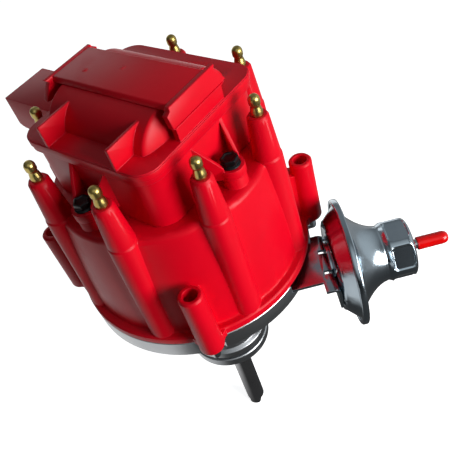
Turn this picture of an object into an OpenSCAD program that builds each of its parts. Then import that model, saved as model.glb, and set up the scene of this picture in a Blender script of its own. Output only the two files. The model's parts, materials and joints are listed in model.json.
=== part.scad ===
// Large eight-cylinder ignition distributor with the coil carried in its cap.
// Z runs up the shaft. The origin is on the shaft axis, on the block seat of the clamp flange.
// X runs along the ridge of the coil cover, away from the connector hood.

/* [Shaft] */
// Diameter of the drive shaft
shaft_d = 12.7; // [11:0.1:14]
// How far the shaft reaches below the block seat
shaft_reach = 90; // [70:1:120]
// Length of the drive tang at the shaft's end
tang_l = 6; // [4:0.5:10]
// Thickness of the drive tang
tang_w = 7; // [4:0.5:8]

/* [Housing] */
// Diameter of the clamp flange and the ring above it
seat_d = 51.8; // [50:0.2:60]
// Height of the clamp flange
seat_h = 7; // [5:0.5:8]
// Diameter of the neck between the rings and the bowl
neck_d = 47; // [40:0.5:48]
// Diameter of the shank that enters the engine block
shank_d = 30; // [28:0.5:34]
// Length of the shank
shank_l = 15; // [12:0.5:20]
// Height of the housing rim above the seat
rim_z = 88.8; // [86:0.1:96]
// Depth of the bowl from its rim to its floor
bowl_depth = 18.8; // [18:0.1:21]
// Inside diameter of the bowl
bowl_d = 114; // [112:0.5:116]
// Wall of the bowl below the band
bowl_wall = 3.5; // [2.5:0.1:4]
// Diameter of the machined band at the rim
band_d = 128.8; // [127:0.2:129.4]
// Height of the machined band
band_h = 10.8; // [9:0.1:12]

/* [Cap] */
// Diameter of the cap flange
flange_d = 129.2; // [128:0.2:132]
// Height of the cap flange
flange_h = 5; // [4.5:0.1:6]
// Height of the cap from its flange to its shoulder
cap_h = 68.2; // [64:0.1:72]
// Diameter of the cap at its shoulder
shoulder_d = 112; // [108:0.5:116]
// Radius of the circle of the spark-plug towers
tower_r = 55; // [54:0.5:56]
// Height of a tower above the shoulder
tower_h = 22.8; // [18:0.2:28]
// How far the latch posts' circle stands outside the machined band
post_gap = 3.1; // [3:0.1:4.5]
// Height of a latch post
post_h = 40.8; // [36:0.2:46]
// Diameter of the screwdriver bore in a latch post
post_bore_d = 7.4; // [7:0.1:8]

/* [Coil cover] */
// Length of the cover deck along the ridge
deck_x = 81; // [79:0.5:84]
// Width of the cover deck across the ridge
deck_y = 80; // [78:0.5:84]
// Height of the deck's top above the cap shoulder
deck_h = 33; // [31:0.5:38]
// Height of the ridge's roof above the deck
ridge_h = 15.7; // [14:0.1:20]
// Width of the ridge's roof
roof_w = 25.4; // [22:0.2:30]
// Height of the four fins above the deck
fin_h = 10.6; // [6:0.2:12]
// Thickness of a fin
fin_t = 1.8; // [1.2:0.1:2.6]

/* [Connector hood] */
// Reach of the hood from the shaft axis
hood_reach = 90.5; // [86:0.5:96]
// Width of the hood
hood_w = 28; // [26:0.5:30]
// Height of the hood
hood_h = 19.1; // [16:0.1:20]

/* [Vacuum advance] */
// Direction of the canister's axis about the shaft
vac_angle = 43.4; // [40:0.1:46]
// Distance from the shaft axis to the canister's axis
vac_offset = 26.6; // [25:0.1:28]
// Height of the canister's axis above the seat
vac_z = 74.6; // [74:0.1:75]
// Diameter of the canister's rim
vac_d = 70; // [66:0.5:74]
// Size of the nose across its six pressed panels
nose_af = 29.8; // [28:0.2:31]
// Length of the vinyl cap on the nipple
vinyl_l = 17.7; // [14:0.1:22]
// Travel of the pickup plate in degrees
vac_travel = 10; // [6:0.5:12]

/* [Advance] */
// Radius at which the weights pivot
pivot_r = 24; // [23:0.5:25]
// Thickness of an advance weight
weight_t = 5.5; // [4:0.1:6]

/* [Hidden] */
$fn = 72;

// Colours
red = [0.86, 0.05, 0.14];
cast = [0.66, 0.67, 0.68];
steel = [0.62, 0.63, 0.65];
zinc = [0.60, 0.65, 0.69];
brass = [0.72, 0.58, 0.26];
bronze = [0.62, 0.44, 0.26];
black = [0.07, 0.07, 0.08];
copper = [0.66, 0.32, 0.14];

// Clearances
fit = 0.03;
run = 0.05;
seat = 0.3;
slide = 0.5;

// Shaft and bushings
shaft_r = shaft_d / 2;
bush_r = shaft_r + 2.15;
bush_l = 22;
shank_r = shank_d / 2;
seat_r = seat_d / 2;
neck_r = neck_d / 2;
groove_h = 2.5;
ring_h = 5.5;
ring_z = seat_h + groove_h;

// O-ring in the shank, and the pin below it
oring_wire = 1.9;
oring_z = -shank_l / 2;
oring_floor = shank_r - 2 * oring_wire - fit;
pin_hole_z = -shank_l - 2.9;
gear_seat_z = pin_hole_z - 3.6;

// Bowl
bowl_r = bowl_d / 2;
wall_r = bowl_r + bowl_wall;
band_r = band_d / 2;
band_z = rim_z - band_h;
floor_z = rim_z - bowl_depth;
floor_t = 4;
lip_h = 2.3;
lip_r = wall_r - seat;

// Latches: four posts between the ridge's axes
latch_angles = [-135, -45, 45, 135];
post_r = band_r + post_gap;
post_base_r = 6.5;
post_top_r = 6.1;
post_z = rim_z;
post_top = post_z + post_h;
rod_r = 2.3;
rod_hole_r = rod_r + 0.4;
head_r = post_bore_d / 2 - 0.25;
head_h = 3.5;
post_floor = rim_z + 5.3;
latch_spring_h = 11.3;
head_z = post_floor + latch_spring_h;
latch_z = rim_z - 6;
hook_reach = post_r - wall_r - 0.8;
hook_z = latch_z - seat - rod_r;

// Hub, pickup and timer core, stacked up from the bowl floor
hub_r = 14;
hub_z = floor_z + 10;
plate_t = 2;
plate_z = hub_z - 4;
plate_r = 40;
retainer_t = 1.2;
retainer_z = plate_z + plate_t + 0.2;
magnet_h = 4.5;
magnet_in = plate_r - 7;
magnet_z = plate_z + plate_t;
pole_z = magnet_z + magnet_h;
pole_t = 2.5;
pole_r = 19.1;
tooth_r = pole_r - slide;
teeth = 8;
washer_t = 1;
sleeve_r = shaft_r + 3.2;
sleeve_z = hub_z + washer_t + seat;
base_z = hub_z + 11;
base_t = 2;
base_r = 35;

// Weights, pins and springs above the weight base
weight_z = base_z + base_t + seat;
pin_r = 2.5;
weight_in = 13;
weight_out = 31;
spring_z = weight_z + weight_t + 2.4;
pin_top = spring_z + 1.6;
spring_post = [22, 150];
tail_pin = [24, 95];
rotor_post = [28, 135];
cam_r = weight_in - 0.4;
rotor_z = pin_top + 1.5;

// Rotor and centre contact
rotor_r = 36;
rotor_t = 3;
arm_z = rotor_z + rotor_t;
arm_h = 8.5;
arm_w = 13;
blade_z = arm_z + arm_h;
blade_t = 1.2;
blade_reach = 46.8;
blade_w = 9;
leaf_t = 0.6;
contact_h = 6;
contact_z = blade_z + blade_t + contact_h;

// Cap
flange_r = flange_d / 2;
flange_z = rim_z + flange_h;
shoulder_r = shoulder_d / 2;
shoulder_z = rim_z + cap_h;
cap_wall = 3;
ceiling_z = shoulder_z - 7;
foot_r = bowl_r + cap_wall;
flare_r = 4.5;
wall_bulge = 0.8;
tower_angles = [for (i = [0:7]) 22.5 + 45 * i];
tower_top = shoulder_z + tower_h;
tower_foot_r = 6.7;
tower_tip_r = 5;
column_r = 7.2;
column_lean = 1.9;
pillar_r = 5;
insert_r = 2.4;
electrode_z = blade_z - 3;
electrode_h = 9;
electrode_r = blade_reach + 1.4;
ball_r = 2.7;
ball_h = 7.8;

// Carbon button in the cap's centre boss
button_r = 3.7;
button_l = 8;
button_travel = 1.5;
button_z = contact_z + seat;
boss_r = 8;
boss_z = button_z + 4.5;
seal_t = 3;
seal_r = 12.5;
seal_z = shoulder_z - seal_t;

// Coil well, coil and cover
cover_wall = 2.5;
cover_lip_h = 6.8;
cover_inset = 2;
skirt_x = deck_x - 2 * cover_inset;
skirt_y = deck_y - 2 * cover_inset;
deck_corner = 10;
skirt_corner = 10.5;
well_x = skirt_x - 2 * cover_wall - 2 * slide;
well_y = skirt_y - 2 * cover_wall - 2 * slide;
well_h = 21;
well_wall = 2.5;
deck_z = shoulder_z + deck_h;
deck_t = 3;
roof_z = deck_z + ridge_h;
roof_t = 2.7;
bulge_x = 63;
bulge_y = 58.8;
bulge_z = deck_z - 4;
bulge_top = roof_z - roof_t;
bulge_flat = 10;
bulge_wall = 2.4;
plate_x = deck_x / 2 - 0.9;
fin_x = [-19.2, 23.7];
lug_reach = 47.7;
lug_side = [0, -90, 90];
lug_z = shoulder_z + 6;
lug_t = 4.5;
lug_r = 6.3;
screw_r = 2.1;
core_x = 62;
core_y = 60;
core_z = shoulder_z + 12;
core_t = 14;
leg_w = 14;
window_x = 40;
coil_z = core_z + core_t / 2;
coil_h = 18.5;
coil_w = 22.5;
coil_screw_x = 26.2;
coil_screw_y = 25.2;

// Connector hood and its two blades
hood_top = shoulder_z + 25.6;
hood_z = hood_top - hood_h;
hood_root = -36;
hood_wall = 2;
socket_l = 15;
blade_x = -hood_reach + hood_wall + socket_l - 3.6;
terminal_w = 6.3;
terminal_t = 0.8;

// Vacuum canister, measured along its axis from the shaft
sheet = 1.2;
cup_back = 70.8;
rim_a = 80.4;
vac_r = vac_d / 2;
cup_r = 25.4;
nose_a = 99;
nose_end = 114.2;
flare_a = 82.2;
flare_h = 11.6;
nose_r = nose_af / 2;
nose_round = 3.6;
panel_press = 0.2;
panel_l = 10.4;
panel_w = 11.2;
panel_round = 2;
nipple_r = 2.6;
vinyl_a = nose_end + 3.6;
link_r = 1.2;
rod_hole = 3;
link_pin_r = 1.5;
eye_hole_r = link_pin_r + 0.2 + vac_offset * (1 - cos(vac_travel));
bracket_t = 1.6;
bracket_z = vac_z + 8.2;
bracket_near = -vac_offset - 17.6;
bracket_far = -vac_offset + 15;
ear_near = -vac_offset - 24.2;
ear_far = -vac_offset + 15;
ledge_r = plate_r + 3.5;
tab_slots = [-vac_offset + 2.9, -vac_offset - 11.4];
bracket_screw = [[36, -vac_offset - 9.4], [46, -vac_offset + 10.6]];

// Electronics on the bowl floor: the module's arc and the capacitor's place
module_angle = vac_angle + 180;
module_span = 54;
module_in = plate_r + 2.5;
module_out = bowl_r - 2.5;
module_mid = (module_in + module_out) / 2;
module_holes = [for (s = [-1, 1]) [module_mid, module_angle + s * (module_span / 2 - 5)]];
can_angle = 128;
can_place_r = 48.5;
can_r = 5.8;
can_foot = 15;
strap_t = 1.2;
small_screw_r = 1.5;

function polar(r, a) = [r * cos(a), r * sin(a)];
function arc(c, r, a0, a1, n) = [for (i = [0:n]) c + polar(r, a0 + (a1 - a0) * i / n)];

module place(r, a) {
    rotate([0, 0, a]) translate([r, 0, 0]) children();
}

module tube(r_out, r_in, z0, z1) {
    translate([0, 0, z0]) difference() {
        cylinder(r = r_out, h = z1 - z0);
        translate([0, 0, -1]) cylinder(r = r_in, h = z1 - z0 + 2);
    }
}

module rod(r, z0, z1) {
    translate([0, 0, z0]) cylinder(r = r, h = z1 - z0);
}

module round_rect(x, y, r) {
    square([x - 2 * r, y], center = true);
    square([x, y - 2 * r], center = true);
    for (sx = [-1, 1], sy = [-1, 1]) translate([sx * (x / 2 - r), sy * (y / 2 - r)]) circle(r);
}

module slab(x, y, r, z0, z1) {
    translate([0, 0, z0]) linear_extrude(z1 - z0) round_rect(x, y, r);
}

// A closed coil spring standing on z = 0, its wire swept as a helix
module coil_spring(radius, wire, turns, height, steps = 12, sides = 6) {
    count = turns * steps;
    rise = height - 2 * wire;
    rings = [for (i = [0:count], j = [0:sides - 1])
        let (a = 360 * i / steps, b = 360 * j / sides, r = radius + wire * cos(b))
        [r * cos(a), r * sin(a), wire + rise * i / count + wire * sin(b)]];
    skin = [for (i = [0:count - 1], j = [0:sides - 1])
        let (k = (j + 1) % sides, a = i * sides, b = a + sides)
        each [[a + j, b + j, b + k], [a + j, b + k, a + k]]];
    start = [for (j = [0:sides - 1]) j];
    end = [for (j = [sides - 1:-1:0]) count * sides + j];
    polyhedron(rings, concat([start], skin, [end]), convexity = 6);
}

// A screw with its head's underside on z = 0, pointing down
module hex_screw(r, length, head, flange) {
    rod(r, -length, 0.1);
    rod(flange, 0, 1);
    translate([0, 0, 1]) cylinder(r = head, h = 3, $fn = 6);
}

module pan_screw(r, length, head) {
    difference() {
        union() {
            rod(r, -length, 0.1);
            rod(head, 0, 2);
        }
        translate([-head, -0.5, 1.2]) cube([2 * head, 1, 2]);
    }
}

// The canister's own frame: its axis is local Z, local Y runs across it and -X is up
module canister_frame() {
    rotate([0, 0, vac_angle]) translate([0, -vac_offset, vac_z]) rotate([0, 90, 0]) children();
}

// Housing: a turned profile with the bowl, the neck, the two rings and the bored shank
module housing_profile() {
    shank = [[bush_r, -shank_l], [shank_r - 1, -shank_l], [shank_r, -shank_l + 1],
        [shank_r, oring_z - oring_wire - 0.2], [oring_floor, oring_z - oring_wire - 0.2],
        [oring_floor, oring_z + oring_wire + 0.2], [shank_r, oring_z + oring_wire + 0.2], [shank_r, 0]];
    rings = [[seat_r - 1, 0], [seat_r, 1], [seat_r, seat_h - 0.6], [seat_r - 0.6, seat_h],
        [neck_r - 1, seat_h], [neck_r - 1, ring_z], [seat_r - 0.6, ring_z], [seat_r, ring_z + 0.6],
        [seat_r, ring_z + ring_h - 0.6], [seat_r - 0.6, ring_z + ring_h], [neck_r, ring_z + ring_h + 1]];
    under = concat([[neck_r, floor_z - 28]], arc([neck_r + 12, floor_z - 28], 12, 180, 116, 6),
        [[wall_r - 9, floor_z - floor_t - 1]], arc([wall_r - 7, floor_z + 5], 7, -60, 0, 6));
    rim = [[wall_r, band_z], [band_r - 0.6, band_z], [band_r, band_z + 0.6], [band_r, rim_z - 0.6],
        [band_r - 0.6, rim_z], [lip_r, rim_z], [lip_r, rim_z + lip_h - 0.6],
        [lip_r - 0.6, rim_z + lip_h], [bowl_r, rim_z + lip_h]];
    bowl = concat(arc([bowl_r - 3, floor_z + 3], 3, 0, -90, 5), [[hub_r, floor_z],
        [hub_r, retainer_z], [hub_r - 1.4, retainer_z], [hub_r - 1.4, retainer_z + retainer_t + 0.1],
        [hub_r, retainer_z + retainer_t + 0.1], [hub_r, hub_z], [bush_r, hub_z]]);
    polygon(concat(shank, rings, under, rim, bowl));
}

module housing_ledges() {
    intersection() {
        tube(bowl_r + 0.5, ledge_r + 0.5, floor_z - 0.5, bracket_z);
        rotate([0, 0, vac_angle]) for (side = [[bracket_near, -vac_offset - 4], [-vac_offset + 4, bracket_far]])
            translate([20, side[0], floor_z - 1]) cube([bowl_r, side[1] - side[0], bowl_depth]);
    }
}

module housing() {
    color(cast) difference() {
        union() {
            rotate_extrude() housing_profile();
            housing_ledges();
        }
        for (a = latch_angles) place(post_r, a) {
            rod(hook_reach + 0.6, band_z - 1, latch_z);
            rod(post_base_r + slide, post_z - slide, rim_z + 1);
        }
        rotate([0, 0, vac_angle]) {
            translate([20, bracket_near - seat, bracket_z])
                cube([band_r, bracket_far - bracket_near + 2 * seat, rim_z + lip_h - bracket_z + 1]);
            translate([ledge_r - 5, -vac_offset - 4, vac_z - 3.5])
                cube([band_r - 20, 8, bracket_z - vac_z + 3.5]);
            for (p = bracket_screw) translate([p[0], p[1], bracket_z - 9]) cylinder(r = 1.9 + fit, h = 10);
        }
        for (p = module_holes) place(p[0], p[1]) rod(small_screw_r + fit, floor_z - 3.2, floor_z + 1);
        place(can_place_r, can_angle) translate([0, -can_foot, 0])
            rod(small_screw_r + fit, floor_z - 3.2, floor_z + 1);
    }
}

module upper_bushing() {
    color(bronze) tube(bush_r - fit, shaft_r + run, hub_z - bush_l, hub_z);
}

module lower_bushing() {
    color(bronze) tube(bush_r - fit, shaft_r + run, -shank_l, bush_l - shank_l);
}

module o_ring() {
    color(black) translate([0, 0, oring_z]) rotate_extrude()
        translate([oring_floor + oring_wire + fit, 0]) circle(oring_wire, $fn = 32);
}

// Electronics on the bowl floor
module ignition_module() {
    color(black) difference() {
        rotate([0, 0, module_angle - module_span / 2]) union() {
            translate([0, 0, floor_z]) rotate_extrude(angle = module_span)
                polygon([[module_in, 0], [module_out, 0], [module_out, 3], [module_in, 3]]);
            translate([0, 0, floor_z + 2]) rotate([0, 0, 10]) rotate_extrude(angle = module_span - 20)
                polygon([[module_in + 0.5, 0], [module_out - 0.5, 0], [module_out - 0.5, 7],
                    [module_out - 1.5, 8], [module_in + 1.5, 8], [module_in + 0.5, 7]]);
        }
        for (p = module_holes) place(p[0], p[1]) rod(small_screw_r + 0.1, floor_z - 1, floor_z + 5);
    }
}

// Two screws hold the module and one holds the capacitor's strap
module module_screws() {
    color(steel) {
        for (p = module_holes) place(p[0], p[1])
            translate([0, 0, floor_z + 3]) pan_screw(small_screw_r, 6, 3);
        place(can_place_r, can_angle) translate([0, -can_foot, floor_z + strap_t])
            pan_screw(small_screw_r, 4, 3);
    }
}

// Noise capacitor: a can in a strap that one screw holds to the floor
module capacitor() {
    color(steel) place(can_place_r, can_angle) {
        translate([0, 0, floor_z + can_r + 1]) rotate([90, 0, 0]) {
            cylinder(r = can_r, h = 20, center = true);
            cylinder(r = 2, h = 24, center = true);
            difference() {
                cylinder(r = can_r + 1, h = 7, center = true);
                cylinder(r = can_r - 0.5, h = 8, center = true);
            }
        }
        difference() {
            translate([-3.5, -can_foot - 4, floor_z]) cube([7, can_foot + 4, strap_t]);
            translate([0, -can_foot, 0]) rod(small_screw_r + 0.1, floor_z - 1, floor_z + 3);
        }
    }
}

// Distributor cap: a turned shell with slanted columns, towers, posts, the coil well and the hood
function wall_radius(t) = foot_r + (shoulder_r - foot_r) * t + wall_bulge * sin(180 * t);

module cap_outside() {
    wall_top = shoulder_z - 3.5;
    rotate_extrude() polygon(concat([[0, rim_z], [flange_r - 0.6, rim_z], [flange_r, rim_z + 0.6],
        [flange_r, flange_z - 0.8], [flange_r - 0.8, flange_z]],
        arc([foot_r + 1.2, flange_z + 1.2], 1.2, -90, -180, 3),
        [for (i = [1:8]) [wall_radius(i / 8), flange_z + 1.2 + (wall_top - flange_z - 1.2) * i / 8]],
        arc([shoulder_r - 3.5, wall_top], 3.5, 0, 90, 6), [[0, shoulder_z]]));
}

module cap_inside() {
    recess_z = rim_z + lip_h + seat;
    rotate_extrude() polygon([[0, rim_z - 1], [lip_r + seat, rim_z - 1], [lip_r + seat, recess_z],
        [bowl_r, recess_z + 0.5], [shoulder_r - cap_wall, ceiling_z - 3],
        [shoulder_r - cap_wall - 3, ceiling_z], [0, ceiling_z]]);
}

// The flange widens round each latch post, with a fillet on both sides
module cap_flare() {
    far = flange_r + flare_r;
    near = post_base_r + flare_r;
    a = acos((far * far + post_r * post_r - near * near) / (2 * far * post_r));
    translate([0, 0, rim_z]) linear_extrude(flange_h - 0.4) {
        translate([post_r, 0]) circle(post_base_r - 0.2);
        difference() {
            polygon([polar(flange_r - 12, 0), polar(far, -a), [post_r, 0], polar(far, a)]);
            for (s = [-1, 1]) translate(polar(far, s * a)) circle(flare_r);
        }
    }
}

module cap_column() {
    column_h = shoulder_z + 0.6 - rim_z - 2;
    lean = atan2(column_lean, column_h);
    translate([tower_r + column_lean, 0, rim_z + 2]) rotate([0, -lean, 0]) rotate_extrude()
        polygon(concat([[0, 0], [column_r, 0]],
            arc([column_r - 1.8, column_h - 1.8], 1.8, 0, 90, 5), [[0, column_h]]));
}

module cap_tower() {
    translate([tower_r, 0, 0]) rotate_extrude() polygon([[0, shoulder_z - 4], [tower_foot_r, shoulder_z - 4],
        [tower_foot_r, shoulder_z + 1.5], [tower_tip_r + 0.1, tower_top - 1.2],
        [tower_tip_r - 0.7, tower_top], [0, tower_top]]);
    translate([tower_r - 1, 0, 0]) rod(pillar_r, electrode_z + electrode_h + 2, ceiling_z + 1);
}

module cap_post() {
    translate([post_r, 0, 0]) rotate_extrude() polygon([[0, post_z], [post_base_r - 0.5, post_z],
        [post_base_r, post_z + 0.5], [post_top_r, post_top - 1], [post_top_r - 0.8, post_top], [0, post_top]]);
    rotate([90, 0, 0]) linear_extrude(8, center = true) polygon([[foot_r - 2, rim_z + 1],
        [post_r, rim_z + 1], [post_r, post_top - 9], [wall_radius(0.5) - 2, post_top - 5]]);
}

module cap_hood() {
    outline = concat([[hood_root, hood_top]], arc([-hood_reach + 3, hood_top - 3], 3, 90, 180, 5),
        arc([-hood_reach + 8, hood_z + 8], 8, 180, 270, 6),
        [[-shoulder_r, hood_z], [-shoulder_r + 4, shoulder_z - 1], [hood_root, shoulder_z - 1]]);
    intersection() {
        rotate([90, 0, 0]) linear_extrude(hood_w, center = true) polygon(outline);
        translate([-hood_reach / 2, 0, hood_z - 10]) linear_extrude(40) round_rect(hood_reach, hood_w, 3);
        rotate([90, 0, 90]) translate([0, (hood_top + hood_z) / 2, -100]) linear_extrude(100)
            round_rect(hood_w, hood_h + 20, 3.2);
    }
}

module cap_sockets() {
    socket_w = (hood_w - 3 * hood_wall) / 2;
    for (side = [-1, 1]) translate([-hood_reach + hood_wall, side * (hood_wall + socket_w) / 2 - socket_w / 2, hood_z - 1])
        cube([socket_l, socket_w, hood_h - 2]);
    for (side = [-1, 1]) translate([blade_x - fit, side * (hood_wall + socket_w) / 2 - terminal_w / 2 - fit, hood_top - 5])
        cube([terminal_t + 2 * fit, terminal_w + 2 * fit, 3.5]);
}

module distributor_cap() {
    color(red) difference() {
        union() {
            difference() {
                union() {
                    cap_outside();
                    for (a = tower_angles) rotate([0, 0, a]) cap_column();
                    for (a = latch_angles) rotate([0, 0, a]) {
                        cap_post();
                        cap_flare();
                    }
                }
                cap_inside();
            }
            for (a = tower_angles) rotate([0, 0, a]) cap_tower();
            rod(boss_r, boss_z, ceiling_z + 1);
            difference() {
                slab(well_x, well_y, skirt_corner - cover_wall, shoulder_z - 1, shoulder_z + well_h);
                slab(well_x - 2 * well_wall, well_y - 2 * well_wall, skirt_corner - cover_wall - well_wall,
                    shoulder_z, shoulder_z + well_h + 1);
            }
            for (x = [-1, 1], y = [-1, 1]) translate([x * coil_screw_x, y * coil_screw_y, 0])
                rod(4, shoulder_z - 1, core_z);
            for (a = lug_side) place(lug_reach, a) rod(lug_r - 0.5, shoulder_z - 6, lug_z - seat);
            cap_hood();
        }
        cap_sockets();
        for (a = latch_angles) place(post_r, a) {
            rod(post_bore_d / 2, post_floor, post_top + 1);
            rod(rod_hole_r, post_z - 1, post_top);
        }
        for (a = tower_angles) place(tower_r, a) rod(insert_r + fit, electrode_z, tower_top + 1);
        rod(button_r + 0.3, boss_z - 1, shoulder_z);
        rod(seal_r + fit, seal_z, shoulder_z + 1);
        for (x = [-1, 1], y = [-1, 1]) translate([x * coil_screw_x, y * coil_screw_y, 0])
            rod(screw_r + fit, shoulder_z + 1, core_z + 1);
        for (a = lug_side) place(lug_reach, a) rod(screw_r + fit, lug_z - 7, lug_z + 1);
    }
}

// Coil cover: a moulded shell with a bulged coil housing, a roof plate, end plates, fins and lugs
function bulge_profile(inset) = let (y0 = bulge_flat, a = bulge_y / 2 - y0 - inset, b = bulge_top - bulge_z - inset)
    concat([[-y0 - a, bulge_z - 6]], [for (i = [0:10]) [-y0 - a * cos(9 * i), bulge_z + b * sin(9 * i)]],
        [for (i = [10:-1:0]) [y0 + a * cos(9 * i), bulge_z + b * sin(9 * i)]], [[y0 + a, bulge_z - 6]]);

module bulge(inset, z0) {
    intersection() {
        rotate([90, 0, 90]) linear_extrude(bulge_x - 2 * inset, center = true) polygon(bulge_profile(inset));
        slab(bulge_x - 2 * inset, bulge_y - 2 * inset, 9 - inset / 2, z0, roof_z);
    }
}

module cover_roof() {
    half = roof_w / 2;
    rotate([90, 0, 90]) linear_extrude(2 * (plate_x - 3), center = true)
        polygon([[-half - 0.8, roof_z - roof_t], [-half, roof_z - 0.5], [-half + 0.6, roof_z],
            [half - 0.6, roof_z], [half, roof_z - 0.5], [half + 0.8, roof_z - roof_t]]);
}

// One end plate, standing on the deck at +X: leaning, stepped and winged
module cover_end_plate() {
    step_z = roof_z - 8.6;
    half = roof_w / 2 + 2.8;
    intersection() {
        rotate([90, 0, 0]) linear_extrude(60, center = true)
            polygon([[plate_x - 2.4, deck_z - 1], [plate_x - 0.1, deck_z - 1], [plate_x - 1.4, step_z],
                [plate_x - 0.9, step_z + 0.2], [plate_x - 2, roof_z], [plate_x - 4.4, roof_z]]);
        rotate([90, 0, 90]) linear_extrude(100)
            polygon([[-half - 1, deck_z - 1], [-half - 1.2, step_z - 0.2], [-half - 3.4, step_z + 3],
                [-half, roof_z], [half, roof_z], [half + 3.4, step_z + 3], [half + 1.2, step_z - 0.2],
                [half + 1, deck_z - 1]]);
    }
}

module cover_fin() {
    rotate([90, 0, 90]) linear_extrude(fin_t, center = true)
        polygon([[-deck_y / 2 + 0.2, deck_z - 1], [-deck_y / 2 + 0.2, deck_z + fin_h - 0.4],
            [-deck_y / 2 + 0.6, deck_z + fin_h], [-20, deck_z + fin_h], [-20, deck_z - 1]]);
}

module cover_lug() {
    reach = lug_reach;
    edge = skirt_y / 2 - 1;
    slope = 29;
    difference() {
        union() {
            rod_at(reach, lug_r, lug_z, lug_z + lug_t);
            translate([edge, -lug_r, lug_z]) cube([reach - edge, 2 * lug_r, lug_t - 1]);
            for (s = [-1, 1]) translate([reach + 0.3, s * (lug_r - 1.2), 0]) rotate([0, 0, s * (180 - slope)])
                rotate([90, 0, 0]) linear_extrude(1.6, center = true)
                    polygon([[0, lug_z], [(reach - edge) / cos(slope), lug_z],
                        [(reach - edge) / cos(slope), lug_z + 20.5], [0, lug_z + 6.5]]);
        }
        rod_at(reach, screw_r + 0.4, lug_z - 1, lug_z + lug_t + 1);
        rod_at(reach, 5.3, lug_z + lug_t, lug_z + 20);
    }
}

module rod_at(x, r, z0, z1) {
    translate([x, 0, 0]) rod(r, z0, z1);
}

module coil_cover() {
    color(red) difference() {
        union() {
            slab(skirt_x, skirt_y, skirt_corner, shoulder_z + seat, deck_z - 1);
            slab(deck_x - 1.8, deck_y - 1.8, deck_corner, deck_z - cover_lip_h, deck_z - 3);
            slab(deck_x - 0.8, deck_y - 0.8, deck_corner, deck_z - cover_lip_h + 0.7, deck_z - 3);
            slab(deck_x, deck_y, deck_corner, deck_z - 3.6, deck_z - 0.6);
            slab(deck_x - 1, deck_y - 1, deck_corner - 0.5, deck_z - 1, deck_z);
            bulge(0, deck_z - 1);
            cover_roof();
            for (a = [0, 180]) rotate([0, 0, a]) cover_end_plate();
            for (x = fin_x) translate([x, 0, 0]) cover_fin();
            for (a = lug_side) rotate([0, 0, a]) cover_lug();
        }
        slab(skirt_x - 2 * cover_wall, skirt_y - 2 * cover_wall, skirt_corner - cover_wall,
            shoulder_z - 1, deck_z - deck_t);
        bulge(bulge_wall, deck_z - deck_t - 2);
        translate([-60, -hood_w / 2 - slide, shoulder_z - 1])
            cube([60 + hood_root + 2, hood_w + 2 * slide, hood_top - shoulder_z + 1 + slide]);
    }
}

module cover_screws() {
    color(black) for (a = lug_side) place(lug_reach, a) translate([0, 0, lug_z + lug_t])
        rotate([0, 0, 11]) hex_screw(screw_r, 10, 4.2, 4.9);
}

// Coil: a laminated frame lying flat, with its winding around the middle leg
module coil_core() {
    color(steel) difference() {
        translate([-core_x / 2, -core_y / 2, core_z]) cube([core_x, core_y, core_t]);
        for (s = [-1, 1]) translate([-window_x / 2, s > 0 ? leg_w / 2 : -coil_w - 0.6, core_z - 1])
            cube([window_x, coil_w + 0.6 - leg_w / 2, core_t + 2]);
        for (x = [-1, 1], y = [-1, 1]) translate([x * coil_screw_x, y * coil_screw_y, 0])
            rod(screw_r + 0.3, core_z - 1, core_z + core_t + 1);
    }
}

module coil_winding() {
    color(copper) difference() {
        rotate([90, 0, 90]) linear_extrude(window_x - 1, center = true) translate([0, coil_z])
            round_rect(2 * coil_w, 2 * coil_h, 12);
        translate([-window_x / 2, -leg_w / 2 - 0.2, core_z - 0.2]) cube([window_x, leg_w + 0.4, core_t + 0.4]);
    }
}

module coil_screws() {
    color(steel) for (x = [-1, 1], y = [-1, 1])
        translate([x * coil_screw_x, y * coil_screw_y, core_z + core_t]) pan_screw(screw_r, core_t + 9, 3.6);
}

module arc_seal() {
    color(black) tube(seal_r, 3.6, seal_z, shoulder_z);
}

module button_spring() {
    gap = coil_z - coil_h - (button_z + button_l + button_travel);
    color(steel) translate([0, 0, button_z + button_l]) coil_spring(2.6, 0.4, 7, gap + button_travel - 0.1);
}

module carbon_button() {
    color(black) translate([0, 0, button_z]) rotate_extrude()
        polygon([[0, 0], [1.8, 0], [button_r - 0.4, 0.9], [button_r - 0.1, 1.8],
            [button_r - 0.1, button_l], [0, button_l]]);
}

// One spark-plug terminal: a moulded-in pin with an inner electrode and an outer snap ball
module terminal(i) {
    color(brass) rotate([0, 0, tower_angles[i - 1]]) {
        translate([tower_r, 0, 0]) {
            rod(insert_r, electrode_z, tower_top + 1);
            translate([0, 0, tower_top]) rotate_extrude() polygon(concat([[0, 0], [ball_r + 0.1, 0],
                [ball_r + 0.1, 0.9], [ball_r - 0.05, 1.2], [ball_r - 0.45, 2.7], [ball_r - 0.8, 3.7],
                [ball_r - 0.8, 4.5], [ball_r - 0.1, 5.6], [ball_r, 6]], arc([0, ball_h], ball_r, 0, 90, 8)));
        }
        translate([electrode_r, -3, electrode_z]) cube([tower_r - electrode_r, 6, electrode_h]);
    }
}

module blade(side) {
    socket_w = (hood_w - 3 * hood_wall) / 2;
    color(brass) translate([blade_x, side * (hood_wall + socket_w) / 2 - terminal_w / 2, hood_z + 2.5])
        cube([terminal_t, terminal_w, hood_h - 4]);
}

// Vacuum canister
module canister_cup() {
    color(zinc) canister_frame() rotate_extrude() polygon([[rod_hole, cup_back], [cup_r - 2.4, cup_back],
        [cup_r - 0.7, cup_back + 0.7], [cup_r + 0.4, cup_back + 2.2], [cup_r + 5, rim_a - 2.6],
        [cup_r + 6, rim_a - 1.6], [vac_r - 1.2, rim_a - 1.6], [vac_r - 1.2, rim_a - 0.4],
        [cup_r + 5.4, rim_a - 0.4], [cup_r + 4.1, rim_a - 1.6], [cup_r - 0.8, cup_back + 2.8],
        [cup_r - 2.8, cup_back + sheet], [rod_hole, cup_back + sheet]]);
}

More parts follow.
